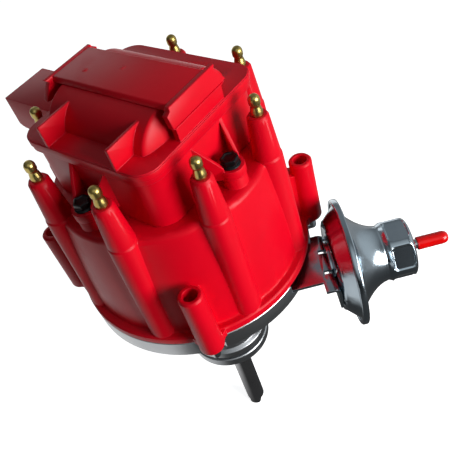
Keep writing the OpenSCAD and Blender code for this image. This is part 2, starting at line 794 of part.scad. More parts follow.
// The nose is turned, and six flat panels with round corners are pressed into it
module nose_solid(inset) {
    out = nose_r + 1 - inset;
    difference() {
        rotate_extrude() polygon(concat([[0, nose_a - 3], [nose_r - inset, nose_a - 3],
            [nose_r + 0.2 - inset, nose_a - 0.5], [out, nose_a + 2.2]],
            arc([out - nose_round, nose_end - nose_round - inset], nose_round, 0, 90, 6),
            [[0, nose_end - inset]]));
        for (k = [0:5]) rotate([0, 0, 60 * k]) translate([nose_r - panel_press - inset, 0, nose_a + 7.6])
            rotate([0, 90, 0]) linear_extrude(5) round_rect(panel_l, panel_w, panel_round);
    }
}

// The flare narrows from the rim to the nose along a parabola
module flare_solid(inset) {
    neck_a = nose_a + 1;
    rotate_extrude() polygon(concat([[0, rim_a + 0.4], [vac_r - 3 - inset, rim_a + 0.4],
        [vac_r - 4 - inset, rim_a + 1.6 - inset / 2]],
        [for (i = [0:10]) let (t = i / 10)
            [nose_r + 0.2 + flare_h * (1 - t) * (1 - t) - inset, flare_a + (neck_a - flare_a) * t]],
        [[nose_r + 0.2 - inset, nose_a + 3], [0, nose_a + 3]]));
}

module canister_cover() {
    color(zinc) canister_frame() difference() {
        union() {
            rotate_extrude() polygon([[vac_r - 6, rim_a + 0.4], [vac_r - 1, rim_a + 0.4], [vac_r - 1, rim_a - 1.7],
                [vac_r - 3, rim_a - 1.7], [vac_r - 2.6, rim_a - 2.3], [vac_r - 0.6, rim_a - 2.3],
                [vac_r, rim_a - 1.7], [vac_r, rim_a + 0.6], [vac_r - 0.6, rim_a + 1.2], [vac_r - 6, rim_a + 1.6]]);
            flare_solid(0);
            nose_solid(0);
            rotate_extrude() polygon([[0, nose_end - 2], [7, nose_end - 2], [6.5, nose_end], [nipple_r + 1, nose_end + 1.6],
                [nipple_r + 0.6, nose_end + 2.2], [0, nose_end + 2.2]]);
        }
        flare_solid(sheet);
        nose_solid(sheet);
        rod(vac_r - 7, rim_a - 2, rim_a + 0.6);
        rod(nipple_r + fit, nose_a, nose_end + 10);
    }
}

module diaphragm() {
    color(black) canister_frame() tube(vac_r - 1.4, link_r + 0.1, rim_a - 0.4, rim_a + 0.4);
}

module diaphragm_plate() {
    color(steel) canister_frame() rotate_extrude() polygon([[link_r + fit, rim_a + 0.5], [16, rim_a + 0.5],
        [17, rim_a + 1.6], [16.2, rim_a + 1.6], [15.4, rim_a + 1.3], [link_r + fit, rim_a + 1.3]]);
}

module diaphragm_spring() {
    color(steel) canister_frame() translate([0, 0, rim_a + 1.4])
        coil_spring(9.5, 0.8, 5, nose_end - sheet - rim_a - 1.5, 14);
}

module vacuum_nipple() {
    color(steel) canister_frame() difference() {
        union() {
            rod(nipple_r, nose_end - sheet - 0.6, vinyl_a + vinyl_l - 5);
            rod(nipple_r + 1.4, nose_end - sheet - 1.4, nose_end - sheet - 0.05);
        }
        rod(1.3, nose_end - 10, vinyl_a + vinyl_l);
    }
}

module nipple_cap() {
    tip = vinyl_a + vinyl_l;
    color(red) canister_frame() difference() {
        rotate_extrude() polygon([[0, vinyl_a], [nipple_r + 0.6, vinyl_a], [nipple_r + 1, vinyl_a + 0.5],
            [nipple_r + 1, tip - 3.2], [nipple_r, tip - 1.4], [1.2, tip - 0.3], [0, tip]]);
        rod(nipple_r + fit, vinyl_a - 1, tip - 4.6);
    }
}

// Bracket: a flat plate through the slot in the bowl, bent down against the canister's back
module bracket_section() {
    bend = [cup_back - 4, bracket_z - 2.4];
    polygon(concat([[20, bracket_z], [bend[0], bracket_z]], arc(bend, 2.4, 90, 0, 5),
        [[cup_back - bracket_t, vac_z - 6.5], [cup_back, vac_z - 6.5]], arc(bend, 4, 0, 90, 5),
        [[20, bracket_z + bracket_t]]));
}

module vacuum_bracket() {
    top = bracket_z + bracket_t;
    color(zinc) rotate([0, 0, vac_angle]) difference() {
        union() {
            translate([0, ear_far, 0]) rotate([90, 0, 0]) linear_extrude(ear_far - ear_near) bracket_section();
            translate([cup_back - bracket_t, -vac_offset, vac_z]) rotate([0, 90, 0])
                cylinder(r = 14, h = bracket_t);
        }
        translate([0, 0, bracket_z - 2]) cylinder(r = ledge_r + seat, h = 6);
        translate([0, ear_near - 1, bracket_z - 1]) cube([cup_back - 7.6, bracket_near - ear_near + 1, 6]);
        for (w = tab_slots) translate([cup_back - 5.6, w - 1.2, top - 7]) cube([8, 2.4, 8]);
        translate([0, -vac_offset, vac_z]) rotate([0, 90, 0]) cylinder(r = rod_hole + 1, h = 100);
        for (p = bracket_screw) translate([p[0], p[1], 0]) rod(2.2, bracket_z - 1, top + 1);
    }
}

module bracket_screws() {
    color(steel) rotate([0, 0, vac_angle]) for (p = bracket_screw)
        translate([p[0], p[1], bracket_z + bracket_t]) pan_screw(1.9, 9, 3.4);
}

// Rod from the diaphragm to the eye on the pickup plate's pin
module vacuum_rod() {
    color(steel) canister_frame() {
        rod(link_r, 3, rim_a + 2.2);
        rod(4.5, rim_a - 1.4, rim_a - 0.5);
        rod(3, rim_a + 1.4, rim_a + 2.2);
        rotate([0, 90, 0]) difference() {
            cylinder(r = 4.2, h = 2.4, center = true);
            cylinder(r = eye_hole_r, h = 4, center = true);
        }
    }
}

// Shaft body
module main_shaft() {
    color(steel) difference() {
        union() {
            rod(shaft_r, -shaft_reach + 1.2, weight_z + weight_t);
            translate([0, 0, -shaft_reach]) cylinder(r1 = shaft_r - 1.4, r2 = shaft_r, h = 1.2 + fit);
            intersection() {
                rod(cam_r, weight_z, weight_z + weight_t);
                rotate([0, 0, -25]) translate([-20, -6.8, weight_z - 1]) cube([40, 13.6, weight_t + 2]);
            }
        }
        for (a = [0, 180]) rotate([0, 0, a + 24])
            translate([tang_w / 2, -20, -shaft_reach - 1]) cube([20, 40, tang_l + 1]);
        translate([0, 0, pin_hole_z]) rotate([0, 90, 20]) cylinder(r = 1.2 + fit, h = 40, center = true);
        tube(shaft_r + 1, shaft_r - 0.4, gear_seat_z, pin_hole_z - 2);
    }
}

module thrust_washers() {
    color(bronze) {
        tube(hub_r - 2, shaft_r + run, hub_z + 0.1, hub_z + washer_t);
        tube(shaft_r + 3.4, shaft_r + run, -shank_l - 1.5, -shank_l - 0.1);
    }
}

module retaining_pin() {
    color(steel) translate([0, 0, pin_hole_z]) rotate([0, 90, 20])
        cylinder(r = 1.2, h = shaft_d + 1.6, center = true);
}

// Advance body: the eight-tooth timer core on its sleeve, with the weight base on top
module timer_core() {
    color(steel) difference() {
        union() {
            rod(sleeve_r, sleeve_z, base_z + base_t);
            rod(13, pole_z, pole_z + pole_t + 0.5);
            intersection() {
                rod(tooth_r, pole_z, pole_z + pole_t + 0.5);
                for (i = [0:teeth - 1]) rotate([0, 0, 360 / teeth * i]) translate([8, -1.7, pole_z])
                    cube([20, 3.4, pole_t + 0.5]);
            }
            difference() {
                rod(base_r, base_z, base_z + base_t);
                for (a = [55, 235]) place(23, a) rod(7.5, base_z - 1, base_z + base_t + 1);
            }
            for (a = [0, 180]) {
                place(pivot_r, a) rod(pin_r, base_z, weight_z + weight_t + 1);
                place(spring_post[0], spring_post[1] + a) {
                    rod(1.6, base_z, pin_top);
                    rod(2.6, spring_z + 1.2, pin_top);
                }
                place(rotor_post[0], rotor_post[1] + a) rod(4, base_z, rotor_z);
            }
        }
        rod(shaft_r + run, sleeve_z - 1, base_z + base_t + 1);
        for (a = [0, 180]) place(rotor_post[0], rotor_post[1] + a) rod(1.6 + fit, base_z + 1, rotor_z + 1);
    }
}

// A weight swings on its pin, with a cam-side heel, a heavy outer arc and a spring pin on its tail
module weight(a) {
    color(steel) rotate([0, 0, a]) {
        difference() {
            union() {
                translate([0, 0, weight_z]) rotate([0, 0, 4]) rotate_extrude(angle = 88)
                    polygon([[weight_in, 0], [weight_out, 0], [weight_out, weight_t], [weight_in, weight_t]]);
                translate([pivot_r, 0, 0]) rod(6, weight_z, weight_z + weight_t);
                place(tail_pin[0], tail_pin[1]) rod(5, weight_z, weight_z + weight_t);
            }
            translate([pivot_r, 0, 0]) rod(pin_r + run, weight_z - 1, weight_z + weight_t + 1);
        }
        place(tail_pin[0], tail_pin[1]) {
            rod(1.5, weight_z + weight_t - 0.5, pin_top);
            rod(2.4, spring_z + 1.2, pin_top);
        }
    }
}

module advance_springs() {
    from = polar(spring_post[0], spring_post[1]);
    to = polar(tail_pin[0], tail_pin[1]);
    span = norm(to - from);
    heading = atan2(to[1] - from[1], to[0] - from[0]);
    color(steel) for (a = [0, 180]) rotate([0, 0, a]) translate([from[0], from[1], spring_z])
        rotate([0, 0, heading]) translate([1.9, 0, -0.5]) rotate([0, 90, 0]) coil_spring(1.4, 0.4, 6, span - 3.8);
}

// Rotor with its blade and centre contact
module rotor() {
    color(black) difference() {
        union() {
            rod(rotor_r, rotor_z, rotor_z + rotor_t);
            translate([0, 0, arm_z - 0.01]) cylinder(r1 = 17, r2 = 12, h = arm_h);
            translate([0, -arm_w / 2, arm_z - 1]) cube([blade_reach - 4.8, arm_w, arm_h + 1]);
            for (a = [45, 135, 225, 315]) rotate([0, 0, a]) translate([10, -1, arm_z - 1])
                cube([rotor_r - 14, 2, 3.5]);
        }
        for (a = [0, 180]) place(rotor_post[0], rotor_post[1] + a) {
            rod(1.9, rotor_z - 1, rotor_z + rotor_t + 5);
            rod(4.2, rotor_z + rotor_t, rotor_z + rotor_t + 5);
        }
    }
}

module rotor_blade() {
    color(brass) difference() {
        union() {
            translate([0, -blade_w / 2, blade_z]) cube([blade_reach - 3, blade_w, blade_t]);
            rod(blade_w / 2, blade_z, blade_z + blade_t);
            intersection() {
                rod(blade_reach, blade_z, blade_z + blade_t);
                translate([blade_reach - 5, -6, blade_z]) cube([6, 12, blade_t]);
            }
        }
        translate([20, 0, 0]) rod(1.5, blade_z - 1, blade_z + 3);
    }
}

module rotor_contact() {
    rise = contact_h;
    color(brass) rotate([90, 0, 0]) linear_extrude(5, center = true)
        polygon([[14, blade_z + blade_t], [14, blade_z + blade_t + leaf_t], [10, blade_z + blade_t + leaf_t],
            [3, contact_z], [-3, contact_z], [-4, contact_z - 1], [-4, contact_z - 1 - leaf_t],
            [-2.6, contact_z - leaf_t], [2.6, contact_z - leaf_t], [9.6, blade_z + blade_t]]);
}

module rotor_screws() {
    color(steel) for (a = [0, 180]) place(rotor_post[0], rotor_post[1] + a)
        translate([0, 0, rotor_z + rotor_t]) pan_screw(1.6, 9, 3.4);
}

// Pickup body
module pickup_plate() {
    color(steel) difference() {
        union() {
            tube(plate_r, hub_r + run, plate_z, plate_z + plate_t);
            place(vac_offset, vac_angle - 90) rod(link_pin_r, vac_z - 2.2, plate_z + 0.5);
        }
        for (a = [30, 120, 210, 300]) place(21, a) rod(3.2, plate_z - 1, plate_z + plate_t + 1);
    }
}

module magnet() {
    color(black) tube(plate_r, magnet_in, magnet_z, pole_z);
}

module pickup_coil() {
    color(copper) tube(magnet_in - slide, pole_r + 4.9, magnet_z, pole_z - 0.2);
}

module pole_piece() {
    color(steel) {
        tube(plate_r, pole_r + 4.5, pole_z, pole_z + pole_t);
        intersection() {
            tube(pole_r + 5.5, pole_r, pole_z, pole_z + pole_t);
            for (i = [0:teeth - 1]) rotate([0, 0, 360 / teeth * i]) translate([8, -1.9, pole_z])
                cube([20, 3.8, pole_t]);
        }
    }
}

module pickup_retainer() {
    color(steel) difference() {
        tube(hub_r + 3, hub_r - 1.3, retainer_z, retainer_z + retainer_t);
        translate([0, -4, retainer_z - 1]) cube([30, 8, 4]);
    }
}

// One hold-down latch: a slotted screw head, a rod and a hook under the band
module latch(i) {
    color(steel) rotate([0, 0, latch_angles[i - 1]]) translate([post_r, 0, 0]) {
        difference() {
            rod(head_r, head_z, head_z + head_h);
            translate([-head_r - 1, -0.5, head_z + head_h - 1.3]) cube([2 * head_r + 2, 1, 3]);
        }
        rod(rod_r, hook_z, head_z + 0.1);
        translate([0, 0, hook_z]) {
            sphere(rod_r);
            translate([-hook_reach + rod_r, 0, 0]) {
                rotate([0, 90, 0]) cylinder(r = rod_r, h = hook_reach - rod_r);
                sphere(rod_r);
            }
        }
    }
}

module latch_springs() {
    color(steel) for (a = latch_angles) place(post_r, a) translate([0, 0, post_floor + 0.05])
        coil_spring((rod_r + post_bore_d / 2) / 2, 0.4, 5, latch_spring_h - 0.1);
}

housing();
upper_bushing();
lower_bushing();
o_ring();
distributor_cap();
coil_cover();
cover_screws();
coil_core();
coil_winding();
coil_screws();
arc_seal();
terminal(1);  // terminal_1
terminal(2);  // terminal_2
terminal(3);  // terminal_3
terminal(4);  // terminal_4
terminal(5);  // terminal_5
terminal(6);  // terminal_6
terminal(7);  // terminal_7
terminal(8);  // terminal_8
blade(-1);  // battery_blade
blade(1);  // tach_blade
button_spring();
ignition_module();
module_screws();
capacitor();
canister_cup();
canister_cover();
diaphragm();
diaphragm_spring();
vacuum_nipple();
nipple_cap();
vacuum_bracket();
bracket_screws();
pickup_retainer();
latch_springs();
main_shaft();
thrust_washers();
retaining_pin();
timer_core();
rotor();
rotor_blade();
rotor_contact();
rotor_screws();
advance_springs();
weight(0);  // weight_1
weight(180);  // weight_2
pickup_plate();
magnet();
pickup_coil();
pole_piece();
vacuum_rod();
diaphragm_plate();
latch(1);  // latch_1
latch(2);  // latch_2
latch(3);  // latch_3
latch(4);  // latch_4
carbon_button();
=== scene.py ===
"""Looks of a large ignition distributor: a red moulded cap and coil cover on a cast bowl, brass plug
terminals, a zinc-plated vacuum canister on a bracket and a ground drive shaft."""

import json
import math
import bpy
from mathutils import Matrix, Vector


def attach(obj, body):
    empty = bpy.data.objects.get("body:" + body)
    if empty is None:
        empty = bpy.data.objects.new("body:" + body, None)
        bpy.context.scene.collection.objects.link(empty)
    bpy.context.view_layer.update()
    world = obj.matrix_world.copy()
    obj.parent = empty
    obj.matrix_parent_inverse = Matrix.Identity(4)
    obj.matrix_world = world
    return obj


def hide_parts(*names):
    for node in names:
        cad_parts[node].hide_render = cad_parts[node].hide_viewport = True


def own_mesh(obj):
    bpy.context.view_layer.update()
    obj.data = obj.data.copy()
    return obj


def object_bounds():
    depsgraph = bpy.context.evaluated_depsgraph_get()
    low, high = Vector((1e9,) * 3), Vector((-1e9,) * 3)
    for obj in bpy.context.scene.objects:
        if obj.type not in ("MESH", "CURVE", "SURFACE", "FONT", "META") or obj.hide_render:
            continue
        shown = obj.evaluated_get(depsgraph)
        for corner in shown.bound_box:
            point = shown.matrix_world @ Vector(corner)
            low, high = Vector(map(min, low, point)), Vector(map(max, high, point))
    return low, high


bl_info = {
    "name": "Ignition distributor",
    "version": (1, 0, 0),
    "blender": (4, 5, 0),
    "location": "View3D > Sidebar > Distributor",
    "description": "Builds the visible pieces, finishes and studio of an ignition distributor",
    "category": "Add Mesh",
}

import bmesh
import bpy
from mathutils import Matrix, Vector

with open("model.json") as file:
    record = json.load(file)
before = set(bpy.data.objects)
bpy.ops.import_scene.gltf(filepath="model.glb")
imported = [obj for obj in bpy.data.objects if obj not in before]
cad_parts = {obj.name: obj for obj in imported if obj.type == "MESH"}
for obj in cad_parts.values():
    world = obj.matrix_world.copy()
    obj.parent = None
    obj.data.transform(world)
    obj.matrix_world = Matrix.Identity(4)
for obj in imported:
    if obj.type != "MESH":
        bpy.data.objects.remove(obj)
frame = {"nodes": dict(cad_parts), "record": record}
CAD_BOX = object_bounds()
MM = 0.001

# Where things stand, in millimetres and degrees
TOWER_R = 55.0
TOWER_TOP = 179.8
TOWER_ANGLES = [22.5 + 45 * i for i in range(8)]
DECK_Z = 190.0
ROOF_Z = 205.7
PLATE_X = 39.6
FIN_X = (-19.2, 23.7)
GATE_MARKS = ((-21.9, -3.7), (-4.0, 3.2))
LUG_REACH = 47.7
LUG_TOP = 167.5
LUG_ANGLES = (0, -90, 90)
POST_R = 67.5
POST_ANGLES = (-135, -45, 45, 135)
LATCH_SPRING_Z = 94.15
BUTTON_SPRING_Z, BUTTON_SPRING_LENGTH, BUTTON_TRAVEL = 131.3, 26.1, 1.5
WEIGHT_SPRING_Z = 101.2
WEIGHT_SPRING_ENDS = ((22, 150), (24, 95))

# The canister's axis, and places along it from the point nearest the shaft
VAC_ANGLE = math.radians(43.4)
VAC_OFFSET = 26.6
VAC_Z = 74.6
VAC_SPRING_START, VAC_SPRING_LENGTH, VAC_TRAVEL = 81.8, 31.1, 4.65
NOSE_R, LAND_R, NOSE_END, NOSE_BEND, SHEET = 14.9, 16.5, 114.2, 3.6, 1.0
VINYL_START = 117.8

# The photograph's camera, in metres and degrees
CAMERA_PLACE = (0.1991, -0.1440, 0.3398)
CAMERA_AZIMUTH, CAMERA_HEIGHT, CAMERA_ROLL = 49.41, 44.85, -19.09
CAMERA_LENS = 49.09

# Each lamp's name, place and size, the point that it faces, and where the sky is bright, in metres and directions
LAMPS = (("key", (0.85, 0.08, 0.3), (0.55, 0.5)), ("fill", (-0.1, -0.95, 0.65), (0.9, 0.7)),
         ("rim", (-0.95, 0.4, 0.45), (0.6, 0.3)))
LAMP_AIM = Vector((0, 0, 0.12))
SKY_TOP = (-0.4, 0.6, 0.7)
OVERHEAD_GLOW = (0.55, -0.42, 0.72)
SIDE_GLOW = (0.61, 0.79, 0.04)

# Turns local Z to world X and local X to world Y, for outlines drawn in the YZ plane
ALONG_X = Matrix(((0, 0, 1, 0), (1, 0, 0, 0), (0, 1, 0, 0), (0, 0, 0, 1)))


# Small helpers for modelling by hand

def deselect_all():
    if bpy.context.object and bpy.context.object.mode != "OBJECT":
        bpy.ops.object.mode_set(mode="OBJECT")
    bpy.ops.object.select_all(action="DESELECT")


def make_active(piece):
    deselect_all()
    piece.select_set(True)
    bpy.context.view_layer.objects.active = piece


def edit(piece):
    make_active(piece)
    bpy.ops.object.mode_set(mode="EDIT")


def leave_edit():
    bpy.ops.object.mode_set(mode="OBJECT")


def settle(piece):
    """Writes the object's place into its mesh, so that it sits at the origin unturned."""
    make_active(piece)
    bpy.ops.object.transform_apply(location=True, rotation=True, scale=True)


def clean_normals(piece, distance=1e-6):
    edit(piece)
    bpy.ops.mesh.select_all(action="SELECT")
    bpy.ops.mesh.remove_doubles(threshold=distance)
    bpy.ops.mesh.normals_make_consistent(inside=False)
    leave_edit()


def smooth(piece, degrees=30):
    make_active(piece)
    bpy.ops.object.shade_smooth_by_angle(angle=math.radians(degrees))


def modify(piece, kind, **values):
    make_active(piece)
    modifier = piece.modifiers.new(kind.lower(), kind)
    for key, value in values.items():
        setattr(modifier, key, value)
    bpy.ops.object.modifier_apply(modifier=modifier.name)


def arc(centre, radius, first, last, step):
    """Points of (x, y) on an arc, by angle in degrees from the y direction towards x."""
    count = round((last - first) / step) + 1
    angles = [math.radians(first + step * i) for i in range(count)]
    return [(centre[0] + radius * math.sin(a), centre[1] + radius * math.cos(a)) for a in angles]


def close_holes(piece):
    """Fills each open rim of a piece."""
    edit(piece)
    bpy.ops.mesh.select_mode(type="EDGE")
    bpy.ops.mesh.select_all(action="DESELECT")
    bpy.ops.mesh.select_non_manifold()
    bpy.ops.mesh.fill_holes(sides=0)
    leave_edit()
    clean_normals(piece)


def turned(name, profile, steps=64):
    """Spins a profile of (radius, height) points in millimetres about Z."""
    deselect_all()
    bpy.ops.mesh.primitive_plane_add(size=2 * MM, location=(0, 0, 0))
    piece = bpy.context.object
    piece.name = piece.data.name = name
    bpy.ops.object.mode_set(mode="EDIT")
    bpy.ops.mesh.select_mode(type="VERT")
    bpy.ops.mesh.select_all(action="SELECT")
    bpy.ops.mesh.merge(type="CENTER")
    here = (0.0, 0.0)
    for i, point in enumerate(profile):
        step = ((point[0] - here[0]) * MM, 0, (point[1] - here[1]) * MM)
        if i == 0:
            bpy.ops.transform.translate(value=step)
        else:
            bpy.ops.mesh.extrude_region_move(TRANSFORM_OT_translate={"value": step})
        here = point
    bpy.ops.mesh.select_all(action="SELECT")
    bpy.ops.mesh.spin(steps=steps, angle=2 * math.pi, center=(0, 0, 0), axis=(0, 0, 1))
    leave_edit()
    clean_normals(piece, 1e-5)
    return piece


def wire_coil(name, radius, wire, turns, height, steps=20, sides=10):
    """A helical spring standing on the origin, in millimetres."""
    deselect_all()
    bpy.ops.mesh.primitive_circle_add(vertices=sides, radius=wire * MM, rotation=(math.pi / 2, 0, 0),
                                      location=(radius * MM, 0, wire * MM))
    piece = bpy.context.object
    piece.name = piece.data.name = name
    settle(piece)
    modify(piece, "SCREW", angle=2 * math.pi * turns, screw_offset=(height - 2 * wire) * MM, steps=int(steps * turns),
           render_steps=int(steps * turns), use_merge_vertices=False)
    close_holes(piece)
    return piece


def copy_of(piece, name, matrix):
    """A copy with its own mesh, put in place by a matrix."""
    make_active(piece)
    bpy.ops.object.duplicate(linked=False)
    twin = bpy.context.object
    twin.name = twin.data.name = name
    twin.matrix_world = matrix
    settle(twin)
    return twin


def join(pieces, name):
    deselect_all()
    for piece in pieces:
        piece.select_set(True)
    bpy.context.view_layer.objects.active = pieces[0]
    bpy.ops.object.join()
    result = bpy.context.object
    result.name = result.data.name = name
    return result


def round_edges(piece, width, segments=2, degrees=35):
    modify(piece, "BEVEL", width=width * MM, segments=segments, limit_method="ANGLE",
           angle_limit=math.radians(degrees), use_clamp_overlap=True, harden_normals=False)


def merged_copy(node, name):
    """A copy of a CAD node with its doubles merged and its flat faces made whole."""
    make_active(frame["nodes"][node])
    bpy.ops.object.duplicate(linked=False)
    piece = bpy.context.object
    for key in list(piece.keys()):
        del piece[key]
    piece.parent = None
    piece.matrix_world = Matrix.Identity(4)
    piece.name = piece.data.name = name
    edit(piece)
    bpy.ops.mesh.select_all(action="SELECT")
    bpy.ops.mesh.remove_doubles(threshold=2e-6)
    bpy.ops.mesh.dissolve_limited(angle_limit=math.radians(0.6), use_dissolve_boundaries=False)
    leave_edit()
    return piece


def prism(name, outline, depth, matrix=Matrix.Identity(4)):
    """An outline of (x, y) points in millimetres, filled and extruded along local Z."""
    deselect_all()
    bpy.ops.mesh.primitive_circle_add(vertices=len(outline), radius=0.01, fill_type="NGON", location=(0, 0, 0))
    piece = bpy.context.object
    piece.name = piece.data.name = name
    for vert, (x, y) in zip(piece.data.vertices, outline):
        vert.co = (x * MM, y * MM, 0)
    bpy.ops.object.mode_set(mode="EDIT")
    bpy.ops.mesh.select_all(action="SELECT")
    bpy.ops.mesh.extrude_region_move(TRANSFORM_OT_translate={"value": (0, 0, depth * MM)})
    leave_edit()
    piece.matrix_world = matrix
    settle(piece)
    clean_normals(piece)
    return piece


def combine(piece, other, operation):
    """Cuts a piece with another one, or keeps what both have in common."""
    modify(piece, "BOOLEAN", operation=operation, object=other, solver="EXACT")
    bpy.data.objects.remove(other)
    return piece


def turn_z(degrees, radius=0.0, height=0.0):
    a = math.radians(degrees)
    return Matrix.Rotation(a, 4, "Z") @ Matrix.Translation((radius * MM, 0, height * MM))


def canister_matrix():
    """Local Z runs along the canister's axis, away from the shaft."""
    return (Matrix.Rotation(VAC_ANGLE, 4, "Z") @ Matrix.Translation((0, -VAC_OFFSET * MM, VAC_Z * MM))
            @ Matrix.Rotation(math.pi / 2, 4, "Y"))


# Shader building

def node_group(name, inputs, outputs):
    group = bpy.data.node_groups.new(name, "ShaderNodeTree")
    for label, kind, value in inputs:
        socket = group.interface.new_socket(label, in_out="INPUT", socket_type="NodeSocket" + kind)
        if value is not None:
            socket.default_value = value
    for label, kind in outputs:
        group.interface.new_socket(label, in_out="OUTPUT", socket_type="NodeSocket" + kind)
    enter = group.nodes.new("NodeGroupInput")
    leave = group.nodes.new("NodeGroupOutput")
    return group, enter, leave


def add(tree, kind, **values):
    node = tree.nodes.new("ShaderNode" + kind)
    for key, value in values.items():
        setattr(node, key, value)
    return node


def math_node(tree, operation, a, b=0.5, clamp=False):
    node = add(tree, "Math", operation=operation, use_clamp=clamp)
    for socket, value in zip(node.inputs, (a, b)):
        if isinstance(value, bpy.types.NodeSocket):
            tree.links.new(value, socket)
        else:
            socket.default_value = value
    return node.outputs[0]


def make_grain():
    """Fine surface grain, a slow mottling and a few scuffs, all from Object coordinates."""
    group, enter, leave = node_group("surface grain", [("Scale", "Float", 1.0)],
                                     [("Height", "Float"), ("Mottle", "Float"), ("Scuff", "Float")])
    where = add(group, "TexCoord")
    fine = add(group, "TexNoise")
    fine.inputs["Detail"].default_value = 3
    broad = add(group, "TexNoise")
    broad.inputs["Scale"].default_value = 28
    broad.inputs["Detail"].default_value = 4
    scuff = add(group, "TexNoise")
    scuff.inputs["Scale"].default_value = 55
    scuff.inputs["Detail"].default_value = 8
    scuff.inputs["Distortion"].default_value = 1.4
    for node in (fine, broad, scuff):
        group.links.new(where.outputs["Object"], node.inputs["Vector"])
    group.links.new(math_node(group, "MULTIPLY", enter.outputs["Scale"], 1500.0), fine.inputs["Scale"])
    ramp = add(group, "ValToRGB")
    ramp.color_ramp.elements[0].position = 0.58
    ramp.color_ramp.elements[1].position = 0.72
    group.links.new(scuff.outputs["Fac"], ramp.inputs["Fac"])
    group.links.new(fine.outputs["Fac"], leave.inputs["Height"])
    group.links.new(broad.outputs["Fac"], leave.inputs["Mottle"])
    group.links.new(ramp.outputs["Color"], leave.inputs["Scuff"])
    return group


def make_edge():
    """A mask that is 1 along convex and concave edges, and the rounded normal there."""
    group, enter, leave = node_group("soft edges", [("Radius", "Float", 0.0005)],
                                     [("Mask", "Float"), ("Normal", "Vector")])
    bevel = add(group, "Bevel", samples=6)
    shape = add(group, "NewGeometry")
    dot = add(group, "VectorMath", operation="DOT_PRODUCT")
    group.links.new(enter.outputs["Radius"], bevel.inputs["Radius"])
    group.links.new(bevel.outputs["Normal"], dot.inputs[0])
    group.links.new(shape.outputs["Normal"], dot.inputs[1])
    rest = math_node(group, "SUBTRACT", 1.0, dot.outputs["Value"])
    group.links.new(math_node(group, "MULTIPLY", rest, 7.0, clamp=True), leave.inputs["Mask"])
    group.links.new(bevel.outputs["Normal"], leave.inputs["Normal"])
    return group


def make_turning():
    """Tool marks round the Z axis: fine rings that change with height and radius."""
    group, enter, leave = node_group("tool rings", [("Scale", "Float", 1.0)], [("Rings", "Float")])
    where = add(group, "TexCoord")
    split = add(group, "SeparateXYZ")
    group.links.new(where.outputs["Object"], split.inputs[0])
    across = math_node(group, "ADD", math_node(group, "MULTIPLY", split.outputs[0], split.outputs[0]),
                       math_node(group, "MULTIPLY", split.outputs[1], split.outputs[1]))
    radius = math_node(group, "SQRT", across)
    joined = add(group, "CombineXYZ")
    group.links.new(radius, joined.inputs[0])
    group.links.new(split.outputs[2], joined.inputs[2])
    rings = add(group, "TexNoise")
    rings.inputs["Detail"].default_value = 6
    group.links.new(math_node(group, "MULTIPLY", enter.outputs["Scale"], 900.0), rings.inputs["Scale"])
    group.links.new(joined.outputs[0], rings.inputs["Vector"])
    group.links.new(rings.outputs["Fac"], leave.inputs["Rings"])
    return group


GROUPS = {}


def group_node(tree, name, **values):
    if name not in GROUPS:
        GROUPS[name] = {"grain": make_grain, "edge": make_edge, "turning": make_turning}[name]()
    node = add(tree, "Group", node_tree=GROUPS[name])
    for key, value in values.items():
        node.inputs[key].default_value = value
    return node


def mix_colour(tree, mask, first, second):
    node = add(tree, "Mix", data_type="RGBA")
    for socket, value in ((node.inputs[0], mask), (node.inputs[6], first), (node.inputs[7], second)):
        if isinstance(value, bpy.types.NodeSocket):
            tree.links.new(value, socket)
        else:
            socket.default_value = value
    return node.outputs[2]


def spread(tree, value, low, high, start=0.0, end=1.0):
    node = add(tree, "MapRange")
    tree.links.new(value, node.inputs["Value"])
    for label, number in (("From Min", start), ("From Max", end), ("To Min", low), ("To Max", high)):
        node.inputs[label].default_value = number
    return node.outputs[0]


def finish(name, colour, dark, edge, metallic=0.0, rough=(0.35, 0.5), grain=1.0, bump=0.1, soft=0.5, wear_and_highlight=0.3,
           rings=0.0, coat=0.0, specular=0.5):
    """One procedural finish: mottled colour, edges lightened partly as wear and partly as a painted highlight, fine
    grain and, on turned pieces, tool rings.
    """
    material = bpy.data.materials.new(name)
    material.use_nodes = True
    tree = material.node_tree
    shader = tree.nodes["Principled BSDF"]
    surface = group_node(tree, "grain", Scale=grain)
    edges = group_node(tree, "edge", Radius=soft * MM)
    base = mix_colour(tree, spread(tree, surface.outputs["Mottle"], 0.0, 1.0, 0.3, 0.7), colour, dark)
    # Along every edge the edge colour is mixed in: partly wear, partly a painted highlight
    wear_and_highlight_mask = math_node(tree, "MULTIPLY", edges.outputs["Mask"], wear_and_highlight)
    tree.links.new(mix_colour(tree, wear_and_highlight_mask, base, edge), shader.inputs["Base Color"])
    height = surface.outputs["Height"]
    scuffs = math_node(tree, "MULTIPLY", surface.outputs["Scuff"], 0.35)
    gloss = math_node(tree, "ADD", surface.outputs["Mottle"], scuffs)
    if rings:
        turning = group_node(tree, "turning", Scale=1.0)
        height = math_node(tree, "ADD", height, math_node(tree, "MULTIPLY", turning.outputs["Rings"], rings))
        gloss = math_node(tree, "ADD", gloss, math_node(tree, "MULTIPLY", turning.outputs["Rings"], 0.4))
    tree.links.new(spread(tree, gloss, rough[0], rough[1], 0.3, 1.2), shader.inputs["Roughness"])
    relief = add(tree, "Bump")
    relief.inputs["Strength"].default_value = bump
    relief.inputs["Distance"].default_value = 0.0001
    tree.links.new(height, relief.inputs["Height"])
    tree.links.new(edges.outputs["Normal"], relief.inputs["Normal"])
    tree.links.new(relief.outputs["Normal"], shader.inputs["Normal"])
    shader.inputs["Metallic"].default_value = metallic
    shader.inputs["Specular IOR Level"].default_value = specular
    shader.inputs["Coat Weight"].default_value = coat
    shader.inputs["Coat Roughness"].default_value = 0.12
    return material


def rgb(r, g, b):
    """An sRGB colour of 0 to 255 as linear values."""
    return tuple(((c / 255 + 0.055) / 1.055) ** 2.4 if c > 10 else c / 255 / 12.92 for c in (r, g, b)) + (1.0,)
